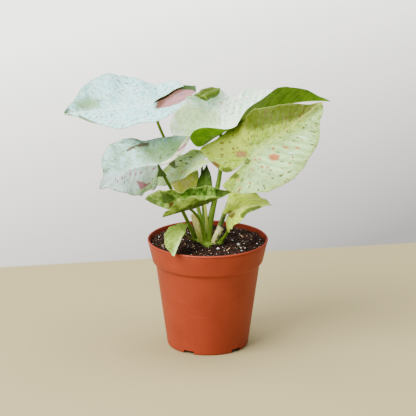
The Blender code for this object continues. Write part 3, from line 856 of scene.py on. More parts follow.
    def spot_field(self, mark: Mark, flat: Array, pixels: Array, depth: Array, face: Array) -> Array:
        """A mark's field: 1 minus the distance from its middle over its half length and half width.

        Args:
            mark: the mark.
            flat: places on the flattened blade.
            pixels: picture positions of the same points.
            depth: how far in front of the lens they are.
            face: whether each is on the mark's side of the blade.

        Returns:
            The field at each point, from -1 to 1.
        """
        miss = np.linalg.norm(pixels - np.array(mark.at), axis=1) + np.where(face, 0, np.inf)
        near = miss < miss.min() + self.PIXEL_REACH
        middle = flat[near][np.argmin(depth[near])]
        side = 1.0 if middle[1] >= 0 else -1.0
        ahead = middle[0] - self.VEIN_SWEEP * abs(middle[1]) > 0
        vein = np.array([self.VEIN_SLOPE, side]) if ahead else middle + np.array([0.0, self.LEAST_REACH])
        turn = np.arctan2(vein[1], vein[0])
        away = flat - middle
        run = away @ np.array([np.cos(turn), np.sin(turn)]) / (mark.long / 2)
        rise = away @ np.array([-np.sin(turn), np.cos(turn)]) / (mark.wide / 2)
        return np.clip(1 - np.hypot(run, rise), -1, 1)

    def stain_fields(self, solid: Shape, lens: Lens) -> list[StainAndPaintedLight]:
        """Notes each marking's field at every point, above 0 inside its marks.

        Returns:
            The markings that the leaf carries, painted shade and highlights among them.
        """
        pixels, depth = lens.project(solid.points)
        flat = solid.notes["flat"][:, :2] * CM
        found: dict[StainAndPaintedLight, Array] = {}
        for mark in self.marks:
            face = solid.notes["underside"] == float(mark.under)
            if isinstance(mark, Patch):
                covered = (mark.side == 0) | (solid.notes["side"] == mark.side)
                values = np.where(covered, mark.field(pixels), -1)
            else:
                values = self.spot_field(mark, flat, pixels, depth, face)
            values = np.where(face, values, -1)
            found[mark.stain_or_light] = np.maximum(found.get(mark.stain_or_light, values), values)
        for stain_or_light, values in found.items():
            solid.notes[stain_or_light.label] = values
        return list(found)

    def build(self, lens: Lens) -> bpy.types.Object:
        """Makes the leaf's piece and its two materials."""
        solid = self.solid(self.surface())
        stains_and_light = self.stain_fields(solid, lens)
        for name in ("x", "side", "underside", "along"):
            del solid.notes[name]
        skins = [self.finish.upper_skin(self.slot, stains_and_light), self.finish.under_skin(self.slot, stains_and_light)]
        return make_piece("blade_" + self.name, solid, skins, self.slot)


@dataclass(frozen=True)
class StalkFinish:
    """Colours of a petiole or sheath from its foot to its top, and of the streaks along it."""

    foot: Colour
    top: Colour
    streak: Colour = (186, 204, 116)
    streak_cover: float = 0.35
    roughness: float = 0.38
    blotch: Colour = (66, 84, 34)
    blotch_cover: float = 0.15
    blotch_side: bool = False

    def skin(self, name: str) -> bpy.types.Material:
        """Material that runs from the foot's colour to the top's, streaked along its length."""
        tree = Tree(name, self.roughness, specular=0.3)
        run = tree.note("run", "Vector")
        shade = tree.wash(self.foot, (self.top, 1.0), tree.note("rise"), low=0.05, high=0.95)
        streaks = tree.noise(tree.stretched(run, (0.35, 3.2, 3.2)), scale=1.0, detail=4.0)
        shade = tree.wash(shade, (self.streak, self.streak_cover), streaks, low=0.5, high=0.7)
        flecks = tree.noise(tree.place(), scale=420.0, detail=3.0)
        blotches = tree.rise(flecks, low=0.42, high=0.54, top=self.blotch_cover)
        if self.blotch_side:
            blotches = tree.times(blotches, tree.rise(tree.axis(run, "Y"), low=0.1, high=-0.4))
        shade = tree.mix(blotches, shade, self.blotch)
        tree.bump(streaks, depth=0.0002, strength=0.6)
        return tree.colour(shade)


@dataclass(frozen=True)
class Stalk:
    """A petiole or sheath through four points in millimetres, with its radius at foot and top.

    Without a top of its own it ends at the leaf of its name.
    """

    name: str
    foot: Triple
    low: Triple
    high: Triple
    foot_radius: float
    top_radius: float
    finish: StalkFinish
    top: tuple = ()
    flatten: float = 1.0
    cut: bool = False
    root: float = 5.0
    flare: float = 1.1

    ROWS, SIDES = 64, 28
    ROOT_SPAN = 60.0  # a root of this many millimetres is as long as the stalk itself
    FLARE_SPAN = 0.09  # share of the length over which the flare at the foot dies away
    JOIN_DEPTH = 0.9  # how far inside the leaf the stalk ends, in millimetres
    DOME_DEGREES = (30.0, 60.0, 80.0)
    TIP_RISE, CUT_SINK = 0.02, 0.35  # millimetres, and share of the radius
    GROOVE_DEPTH, GROOVE_WIDTH = 0.10, 0.5
    RIDGE_DEPTH, RIDGES = 0.03, 5

    def end(self, blades: dict[str, Blade]) -> Array:
        """Where the stalk ends: its own top, or just inside its leaf's midrib."""
        if self.top:
            return np.array(self.top, float)
        centre, _, upward = blades[self.name].midrib(np.array([0.0]))
        return centre[0] - upward[0] * self.JOIN_DEPTH

    def path(self, blades: dict[str, Blade], shares: Array) -> Array:
        """The cubic through the four points, at shares of its length from 0 to 1."""
        places = np.array([self.foot, self.low, self.high, self.end(blades)], float)
        gaps = np.linalg.norm(np.diff(places, axis=0), axis=1)
        knots = np.concatenate([[0.0], np.cumsum(gaps)]) / gaps.sum()
        weights = np.ones((4, len(shares)))
        for number in range(4):
            for other in range(4):
                if other != number:
                    weights[number] *= (shares - knots[other]) / (knots[number] - knots[other])
        return weights.T @ places

    def shape(self, blades: dict[str, Blade]) -> Shape:
        """A tapered tube with closed ends, in metres.

        The radius is top + (foot - top)(1 - s)^1.5, fuller at the base, with a shallow channel
        along its upper side. The foot runs on into the crown. The top is a dome, or it is cut
        off and a little hollow.
        """
        shares = np.linspace(-self.root / self.ROOT_SPAN, 1.0, self.ROWS)
        path = self.path(blades, shares)
        course = np.gradient(path, axis=0)
        course /= np.linalg.norm(course, axis=1)[:, None]
        rise = np.clip(shares, 0.0, 1.0)
        radii = self.top_radius + (self.foot_radius - self.top_radius) * (1 - rise) ** 1.5
        radii = radii + self.flare * np.exp(-rise / self.FLARE_SPAN)
        across = np.cross(course, (0.0, 1.0, 0.0))
        across /= np.linalg.norm(across, axis=1)[:, None]
        facing = np.cross(course, across)
        domes = np.radians(() if self.cut else self.DOME_DEGREES)
        path = np.concatenate([path, path[-1] + course[-1] * (np.sin(domes) * radii[-1])[:, None]])
        radii = np.concatenate([[0.0], radii, radii[-1] * np.cos(domes), [0.0]])
        tip = path[-1] + course[-1] * (-self.CUT_SINK * radii[-2] if self.cut else self.TIP_RISE)
        path = np.concatenate([path[:1], path, tip[None]])
        added = len(radii) - self.ROWS - 1
        across, facing, rise = (
            np.concatenate([values[:1], values, np.repeat(values[-1:], added, 0)])
            for values in (across, facing, rise)
        )
        angle = even_angles(self.SIDES)
        groove = 1 - self.GROOVE_DEPTH * hill(angle, pi * 1.5, self.GROOVE_WIDTH)
        groove = groove + self.RIDGE_DEPTH * np.cos(self.RIDGES * angle)
        ring = radii[:, None] * groove[None, :]
        points = (
            path[:, None, :]
            + across[:, None, :] * (ring * np.cos(angle))[..., None]
            + facing[:, None, :] * (ring * np.sin(angle) * self.flatten)[..., None]
        )
        rise, angle = np.broadcast_arrays(rise[:, None], angle)
        run = np.stack([rise * 6.0, np.cos(angle), np.sin(angle)], -1)
        return Shape.tube(points * MM, {"run": run, "rise": rise})

    def build(self, blades: dict[str, Blade]) -> bpy.types.Object:
        """Makes the stalk's piece."""
        skin = self.finish.skin("stalk_" + self.name)
        return make_piece("stalk_" + self.name, self.shape(blades), [skin], "stems")


@dataclass(frozen=True)
class Crown:
    """The stubs that the petioles grow from: centre x and y, radius and top height in millimetres."""

    stubs: tuple = (
        (0.2, -11.8, 6.8, 95.6),
        (-8.0, -2.5, 4.6, 97.0),
        (8.5, -5.5, 5.2, 97.0),
        (-1.0, -1.0, 7.0, 98.0),
    )
    soil_level: float = 92.5
    depth: float = 12.0
    collar: float = 1.2
    rings: int = 60
    sides: int = 72

    SCAR_DEPTH, CORNER_SCAR_DEPTH = 0.05, 0.12

    def stub(self, x: float, y: float, radius: float, top: float, number: int) -> Shape:
        """A turned stump with rings of old leaf scars, which are a sine of the height, and noise.

        The one in front has a three-sided plan with a corner to the front.

        Args:
            x, y: its middle.
            radius: its radius at the soil.
            top: height of its top.
            number: its place in the list, which sets its scars.

        Returns:
            The stump in metres.
        """
        level, collar = self.soil_level, self.soil_level + self.collar
        profile = np.array([
            (0.0, level - self.depth), (radius, level - self.depth), (radius, collar),
            (radius * 0.95, level + 1.9), (radius * 0.86, (collar + top) / 2 + 0.3),
            (radius * 0.68, top - 0.6), (radius * 0.5, top), (radius * 0.2, top + 0.3), (0.0, top + 0.3),
        ])
        steps = np.linspace(0, len(profile) - 1, self.rings)
        corners = np.arange(len(profile))
        radii, heights = (np.interp(steps, corners, column)[:, None] for column in profile.T)
        angle = even_angles(self.sides)
        bumps = 1 + self.SCAR_DEPTH * np.sin(heights * 4.0 + 0.7 * np.cos(angle + number))
        bumps = bumps + self.SCAR_DEPTH * lattice_noise(angle * 2.4 + heights, 0 * angle + number, seed=5)
        ring = radii * bumps
        if number == 0:
            from_corner = np.mod(angle + pi / 2, 2 * pi / 3) - pi / 3
            scars = 1 + self.CORNER_SCAR_DEPTH * lattice_noise(angle * 4.1 + heights, 0 * angle, seed=9)
            ring = ring * np.minimum(0.6 / np.cos(from_corner), 1.1) * scars
        rise, angle = np.broadcast_arrays((heights - level) / (top - level), angle)
        run = np.stack([rise * 3, np.cos(angle), np.sin(angle)], -1)
        points = turned(ring, heights, self.sides, (x, y)) * MM
        return Shape.tube(points, {"run": run, "rise": np.clip(rise, 0, 1)})

    def build(self) -> bpy.types.Object:
        """Makes the crown's piece."""
        shapes = [self.stub(*stub, number) for number, stub in enumerate(self.stubs)]
        finish = StalkFinish((100, 132, 36), (126, 158, 50), (160, 186, 84), 0.6, blotch_cover=0.35)
        return make_piece("crown", Shape.joined(shapes), [finish.skin("crown")], "stems")


@dataclass(frozen=True)
class Pot:
    """The pot's sizes in metres."""

    height: float = 0.096
    rim_radius: float = 0.0525
    band_radius: float = 0.0480
    band_height: float = 0.0765
    neck_radius: float = 0.0454
    neck_height: float = 0.0744
    base_radius: float = 0.0355
    wall: float = 0.0012
    lip: float = 0.0022
    floor_top: float = 0.0026
    slots: int = 5
    slot_width: float = 0.0100
    slot_height: float = 0.0032
    slot_first: float = -118.0
    slot_start: float = 0.0268
    sides: int = 180
    underside: tuple = ((0.0, 0.0), (0.023, 0.0), (0.024, 0.0012), (0.0322, 0.0012), (0.0332, 0.0))

    ROUND_SHARE, ROUND_LIMIT, ROUND_STEPS = 0.3, 0.0009, 5
    SHARP_DEGREES = 50.0

    def inside(self) -> list[tuple[float, float]]:
        """Inner wall from the lip down to the floor, as (radius, height)."""
        return [
            (self.rim_radius - 0.0017, self.height - 0.0005),
            (self.rim_radius - 0.0019, self.height - 0.0016),
            (self.band_radius + 0.0003 - self.wall, self.band_height + 0.0006),
            (self.neck_radius - self.wall, self.neck_height - 0.0006),
            (self.base_radius - self.wall, self.floor_top),
        ]

    def inside_radius(self, height: float) -> float:
        """Inner radius at a height."""
        wall = self.inside()[::-1]
        return float(np.interp(height, [z for _, z in wall], [r for r, _ in wall]))

    def profile(self) -> Array:
        """Outline of the section from the underside's middle, up the outside and down the inside.

        Each corner is rounded by a curve that cuts off the same length of its two edges: a
        share of the shorter one, up to a limit.
        """
        lip_foot = self.height - self.lip
        corners = [
            *self.underside, (self.base_radius - 0.0008, 0.0), (self.base_radius, 0.0010),
            (self.neck_radius, self.neck_height), (self.neck_radius + 0.0016, self.neck_height + 0.0010),
            (self.band_radius, self.band_height), (self.band_radius + 0.0003, self.band_height + 0.0010),
            (self.rim_radius - 0.0006, lip_foot - 0.0004), (self.rim_radius - 0.0009, lip_foot),
            (self.rim_radius - 0.0002, lip_foot + 0.0005), (self.rim_radius, self.height - 0.0008),
            (self.rim_radius - 0.0005, self.height - 0.0001), (self.rim_radius - 0.0011, self.height),
            *self.inside(), (0.0, self.floor_top),
        ]
        points = np.array(corners)
        turns = np.linspace(0, 1, self.ROUND_STEPS)[:, None]
        made = [points[:1]]
        for before, corner, after in zip(points[:-2], points[1:-1], points[2:]):
            back, ahead = np.linalg.norm(corner - before), np.linalg.norm(after - corner)
            cut = min(self.ROUND_SHARE * back, self.ROUND_SHARE * ahead, self.ROUND_LIMIT)
            start = corner + (before - corner) / back * cut
            end = corner + (after - corner) / ahead * cut
            made.append((1 - turns) ** 2 * start + 2 * turns * (1 - turns) * corner + turns**2 * end)
        made.append(points[-1:])
        return np.concatenate(made)

    def build(self) -> bpy.types.Object:
        """Makes the pot: its section turned about Z, with the drain slots cut out of its foot."""
        profile = self.profile()
        shell = Shape.tube(turned(profile[:, :1], profile[:, 1:], self.sides))
        pot = make_piece("pot_shell", shell, [self.skin()], "pot")
        cutters = [self.slot_cutter(number) for number in range(self.slots)]
        for cutter in cutters:
            cut = pot.modifiers.new(cutter.name, "BOOLEAN")
            cut.operation = "DIFFERENCE"
            cut.solver = "EXACT"
            cut.object = cutter
        mesh = bpy.data.meshes.new_from_object(pot.evaluated_get(bpy.context.evaluated_depsgraph_get()))
        pot.modifiers.clear()
        pot.data = mesh
        for cutter in cutters:
            bpy.data.objects.remove(cutter, do_unlink=True)
        mesh.set_sharp_from_angle(angle=radians(self.SHARP_DEGREES))
        return pot

    def slot_cutter(self, number: int) -> bpy.types.Object:
        """A block across the foot of the wall and the floor just inside it."""
        turn = radians(self.slot_first + number * 360.0 / self.slots)
        along = np.array([self.slot_start, self.base_radius + 0.004])
        corners = [
            (a * cos(turn) - s * sin(turn), a * sin(turn) + s * cos(turn), z)
            for z in (-0.001, self.slot_height)
            for a, s in zip(along[[0, 1, 1, 0]], np.array([-1, -1, 1, 1]) * self.slot_width / 2)
        ]
        faces = [(0, 3, 2, 1), (4, 5, 6, 7), (0, 1, 5, 4), (1, 2, 6, 5), (2, 3, 7, 6), (3, 0, 4, 7)]
        mesh = bpy.data.meshes.new("slot_cutter")
        mesh.from_pydata(corners, [], faces)
        cutter = add_object("slot_cutter", mesh)
        cutter.hide_render = True
        return cutter

    @staticmethod
    def skin() -> bpy.types.Material:
        """Satin moulded plastic: faint clouds, specks and scuffs, and fine turning lines."""
        tree = Tree("pot_plastic", roughness=0.5, specular=0.22)
        place = tree.place()
        clouds = tree.noise(place, scale=38.0, detail=4.0)
        shade = tree.wash((154, 59, 34), ((144, 53, 30), 1.0), clouds, low=0.3, high=0.7)
        specks = tree.noise(place, scale=900.0)
        shade = tree.wash(shade, ((178, 86, 54), 0.25), specks, low=0.66, high=0.74)
        scuffs = tree.noise(tree.stretched(place, (60.0, 60.0, 420.0)), scale=1.0, detail=3.0)
        shade = tree.wash(shade, ((176, 86, 54), 0.16), scuffs, low=0.62, high=0.74)
        lines = tree.noise(tree.stretched(place, (3.0, 3.0, 900.0)), scale=1.0)
        grain = tree.noise(place, scale=260.0, detail=3.0)
        tree.bump(tree.plus(lines, grain), depth=0.00006, strength=0.5)
        return tree.colour(shade)


@dataclass(frozen=True)
class Grain:
    """Loose bits on the soil: how many, their size range in millimetres, stretch, and tones.

    sink is the share of a bit that lies in the bed, and placed holds the bits that show in the
    picture, each with its picture position and its size.
    """

    name: str
    count: int
    small: float
    large: float
    stretch: float
    dark: Colour
    pale: Colour
    sink: float = 0.25
    flat: float = 0.75
    seed: int = 1
    placed: tuple = ()
    roughness: float = 0.85

    def skin(self) -> bpy.types.Material:
        """Material between the two tones, by each bit's own tone and a little noise."""
        tree = Tree("grain_" + self.name, self.roughness, specular=0.25)
        mottle = tree.times(tree.noise(tree.place(), scale=1400.0), 0.6)
        tone = tree.plus(tree.note("tone"), mottle)
        return tree.colour(tree.wash(self.dark, (self.pale, 1.0), tone, low=0.2, high=1.3))


@dataclass(frozen=True)
class Soil:
    """Potting mix: a lumpy bed with crumbs, white perlite and bark on it."""

    pot: Pot
    crown: Crown
    level: float = 0.0925
    lump: float = 0.0007
    gap: float = 0.0003
    sides: int = 260
    rings: int = 92
    clear: float = 0.4  # millimetres between the stubs and the bits

    RIM_CLEAR = 0.0009  # between the outermost bits and the bed's rim
    SMALLER = 2.2  # the higher, the more bits are near the small end of their range
    BODY_RADIUS = 1.902  # of a 20-sided body with edges of 2
    BODY_EDGE = 1.2  # a little over the edge's length once its radius is 1
    DENT, LEAST_THICK, THICK_RANGE, TIP_RANGE = 0.8, 0.75, 0.5, 1.3
    SIT = 0.8  # how far a bit's middle rises with its size

    @property
    def rim(self) -> float:
        """Radius of the bed's top."""
        return self.pot.inside_radius(self.level - 0.0022) - self.gap

    def height(self, x: Array, y: Array) -> Array:
        """Height of the bed: slow waves, crumbly noise of 5.2 and 1.3 mm, and a fall at the wall."""
        lumps = np.sin(310 * x + 1.3) * np.cos(270 * y - 0.4) + 0.6 * np.sin(520 * y + 150 * x)
        coarse = 0.0009 * layered_noise(x, y, size=0.0052, seed=11, layers=4)
        fine = 0.0004 * layered_noise(x, y, size=0.0013, seed=31, layers=2)
        fall = 0.0006 * (x * x + y * y) / 0.0025
        return self.level + self.lump * lumps - fall + (coarse + fine)

    def bed(self) -> Shape:
        """The bed as one closed body: up the pot's wall from its floor, then rings over its top."""
        bottom = self.pot.floor_top + self.gap
        steps = [bottom, self.pot.neck_height - 0.0006, self.pot.band_height + 0.0006]
        wall = [(self.pot.inside_radius(z) - self.gap, z) for z in steps]
        radii = self.rim * np.linspace(1.0, 0.0, self.rings)
        profile = np.array([(0.0, bottom)] + wall + [(radius, self.level) for radius in radii])
        points = turned(profile[:, :1], profile[:, 1:], self.sides)
        top = points[1 + len(wall):]
        top[..., 2] = self.height(top[..., 0], top[..., 1])
        return Shape.tube(points)

    def lump_body(self) -> tuple[Array, Array]:
        """Corners of a body of 20 equal sides about the origin, and its triangles facing outward."""
        golden = (1 + 5**0.5) / 2
        signs = [(a, b * golden) for a in (-1, 1) for b in (-1, 1)]
        corners = np.array(
            [(0, a, b) for a, b in signs] + [(a, b, 0) for a, b in signs] + [(b, 0, a) for a, b in signs]
        ) / self.BODY_RADIUS
        joined = np.linalg.norm(corners[:, None] - corners[None], axis=-1) < self.BODY_EDGE
        faces = np.array([
            trio for trio in combinations(range(len(corners)), 3)
            if all(joined[pair] for pair in combinations(trio, 2))
        ])
        centre = corners[faces].mean(1)
        first, second, third = (corners[faces[:, k]] for k in range(3))
        inward = (np.cross(second - first, third - first) * centre).sum(1) < 0
        faces[inward] = faces[inward][:, ::-1]
        return corners, faces

    def spread(self, grain: Grain, lens: Lens, draw: np.random.Generator) -> tuple[Array, Array]:
        """Where bits lie and how large they are.

        Args:
            grain: the kind of bit.
            lens: turns the picture positions of the placed ones into places.
            draw: the kind's random draws.

        Returns:
            Their x and y in metres, and their sizes in millimetres.
        """
        radius = np.sqrt(draw.random(grain.count)) * (self.rim - self.RIM_CLEAR)
        turn = draw.random(grain.count) * 2 * pi
        places = np.stack([radius * np.cos(turn), radius * np.sin(turn)], -1)
        sizes = grain.small + (grain.large - grain.small) * draw.random(grain.count) ** self.SMALLER
        clear = np.ones(grain.count, bool)
        for x, y, stub_radius, _ in self.crown.stubs:
            away = np.hypot(places[:, 0] - x * MM, places[:, 1] - y * MM)
            clear &= away > (stub_radius + self.clear) * MM
        places, sizes = places[clear], sizes[clear]
        if grain.placed:
            chosen = np.array([lens.on_level(pixel, self.level)[:2] for pixel, _ in grain.placed])
            places = np.concatenate([places, chosen])
            sizes = np.concatenate([sizes, [size for _, size in grain.placed]])
        return places, sizes

    def scatter(self, grain: Grain, lens: Lens) -> Shape:
        """Copies of a 20-sided lump, each dented, stretched, tipped and turned by its own seeded draw."""
        draw = np.random.default_rng(grain.seed)
        places, sizes = self.spread(grain, lens, draw)
        corners, faces = self.lump_body()
        count, corner_count = len(places), len(corners)
        lumps = corners[None] * (1 + self.DENT * (draw.random((count, corner_count, 1)) - 0.5))
        long = 1 + (grain.stretch - 1) * draw.random(count)
        thick = grain.flat * (self.LEAST_THICK + self.THICK_RANGE * draw.random(count))
        shapes = np.stack([long, np.full(count, 1.0), thick], -1)
        lumps = lumps * shapes[:, None, :] * (sizes / 2 * MM)[:, None, None]
        spin, tip = draw.random((2, count, 1))
        spin, tip = spin * 2 * pi, (tip - 0.5) * self.TIP_RANGE
        x, y, z = (lumps[..., axis] for axis in range(3))
        x, z = x * np.cos(tip) + z * np.sin(tip), z * np.cos(tip) - x * np.sin(tip)
        x, y = x * np.cos(spin) - y * np.sin(spin), x * np.sin(spin) + y * np.cos(spin)
        above = sizes * MM * (0.5 - grain.sink) * self.SIT
        ground = self.height(places[:, 0], places[:, 1]) + above
        points = np.stack([x + places[:, :1], y + places[:, 1:], z + ground[:, None]], -1)
        triangles = (faces[None] + corner_count * np.arange(count)[:, None, None]).reshape(-1, 3)
        tones = draw.random(count)
        tones[count - len(grain.placed):] = 1.0
        return Shape(points.reshape(-1, 3), triangles, {"tone": np.repeat(tones, corner_count)})

    def build(self, lens: Lens, grains: tuple[Grain, ...]) -> None:
        """Makes the bed and each kind of loose bit."""
        tree = Tree("soil_bed", roughness=0.95, specular=0.2)
        place = tree.place()
        crumbs = tree.noise(place, scale=900.0, detail=4.0)
        shade = tree.wash((15, 10, 8), ((54, 36, 28), 1.0), crumbs, low=0.35, high=0.65)
        damp = tree.noise(place, scale=220.0, detail=3.0)
        shade = tree.wash(shade, ((30, 19, 14), 0.6), damp, low=0.55, high=0.7)
        tree.bump(tree.noise(place, scale=1500.0, detail=4.0), depth=0.0006, strength=0.9)
        make_piece("soil_bed", self.bed(), [tree.colour(shade)], "soil")
        for grain in grains:
            make_piece("soil_" + grain.name, self.scatter(grain, lens), [grain.skin()], "soil")


GREEN_STALK = StalkFinish((104, 136, 30), (82, 118, 16), (140, 166, 60))
BRIGHT_STALK = StalkFinish((112, 146, 34), (118, 158, 36), (158, 188, 72))
DARK_STALK = StalkFinish((98, 128, 26), (58, 86, 14), (122, 150, 44))
PALE_STALK = StalkFinish((130, 152, 52), (190, 204, 76), (216, 222, 120))
RED_STALK = StalkFinish((110, 128, 50), (128, 124, 62), (140, 92, 62))

STALKS = (
    Stalk("upper_left", (-4, 1, 94), (-8, 12, 118), (-23, 31, 148), 1.8, 1.3, BRIGHT_STALK),
    Stalk("mid_left", (-10, -2, 94), (-16, -7, 110), (-25.5, -13, 132.5), 1.7, 1.4, DARK_STALK),
    Stalk("mid_left_collar", (-39.3, -20.9, 158.0), (-39.9, -21.7, 161.6), (-40.8, -22.6, 165.2), 4.6, 0.3,
          StalkFinish((36, 62, 12), (34, 60, 12), (60, 90, 26)), top=(-41.8, -23.4, 169.0), flatten=0.3,
          root=0.0, flare=0.0),
    Stalk("upper_right", (-0.5, -5, 94), (2.0, 0, 110), (8.6, 9, 140), 3.2, 1.6, GREEN_STALK),
    Stalk("large_right", (6, -4, 94), (14, 4, 115), (22, 4, 137), 2.2, 1.4, DARK_STALK),
    Stalk("centre", (-1, -2, 94), (-3, 6, 110), (-5, 17, 137), 1.6, 1.0, DARK_STALK),
    Stalk("yellow", (-3, 1, 94), (-8, 15, 115), (-12, 27, 137), 1.6, 0.9, GREEN_STALK),
    Stalk("centre_upright", (0, -5, 94), (-0.5, -3, 108), (-2, 1, 122), 2.0, 1.1, PALE_STALK),
    Stalk("low_folded", (-2, -8, 94), (-3.8, -10, 106), (-7.5, -15, 118), 1.6, 1.2, GREEN_STALK),
    Stalk("low_right", (10, -6, 94), (14, -8.5, 99), (18, -14, 108), 1.5, 1.1, GREEN_STALK),
    Stalk("small_drooping", (-9, -4, 94), (-13, -10, 97), (-17, -22, 104), 1.1, 0.8, RED_STALK),
    Stalk("cream_sheath", (-5, -8, 94), (-7, -10, 101), (-9.5, -13, 112), 1.8, 3.1,
          StalkFinish((186, 204, 84), (250, 246, 166), (120, 150, 40), 0.9, 0.5, blotch_cover=0.2),
          top=(-11.5, -16, 121), flatten=0.5, flare=0.2),
    Stalk("dry_stub", (5, -9, 94), (6.5, -8.5, 98), (9, -7, 103), 2.4, 3.0,
          StalkFinish((214, 212, 132), (236, 230, 166), (120, 140, 60), 0.85, 0.7, blotch_cover=0.9,
                      blotch_side=True),
          top=(11.5, -6, 107.5), cut=True, flare=0.0),
    Stalk("green_sheath", (8, -3, 94), (9.5, -1, 100), (11.5, 1, 107), 3.4, 1.0,
          StalkFinish((78, 104, 34), (58, 82, 26)), top=(13.5, 2, 114)),
)

GRAINS = (
    Grain("crumbs", 6400, 0.35, 1.6, 1.8, (8, 5, 4), (76, 46, 33), seed=3),
    Grain("perlite", 420, 0.25, 1.0, 1.4, (214, 210, 196), (255, 255, 250), sink=0.1, seed=5,
          placed=(((238.5, 244.7), 2.8), ((218.5, 249.3), 2.4), ((241, 247.9), 1.6), ((245, 248.3), 1.3),
                  ((242, 250), 1.2), ((232.5, 241), 1.2), ((257, 243), 1.4), ((233, 238), 1.1))),
    Grain("bark", 150, 0.5, 2.1, 3.2, (66, 42, 28), (206, 178, 132), sink=0.15, flat=0.4, seed=8,
          placed=(((156, 232), 2.2), ((252, 237), 2.4), ((166, 247), 2.0), ((228, 250), 1.8))),
)


def spots(stain_or_light: StainAndPaintedLight, long: float, wide: float, *places: Pixel) -> tuple[Mark, ...]:
    """Marks of one kind and size at several places, painted light among them."""
    return tuple(Mark(stain_or_light, place, long, wide) for place in places)


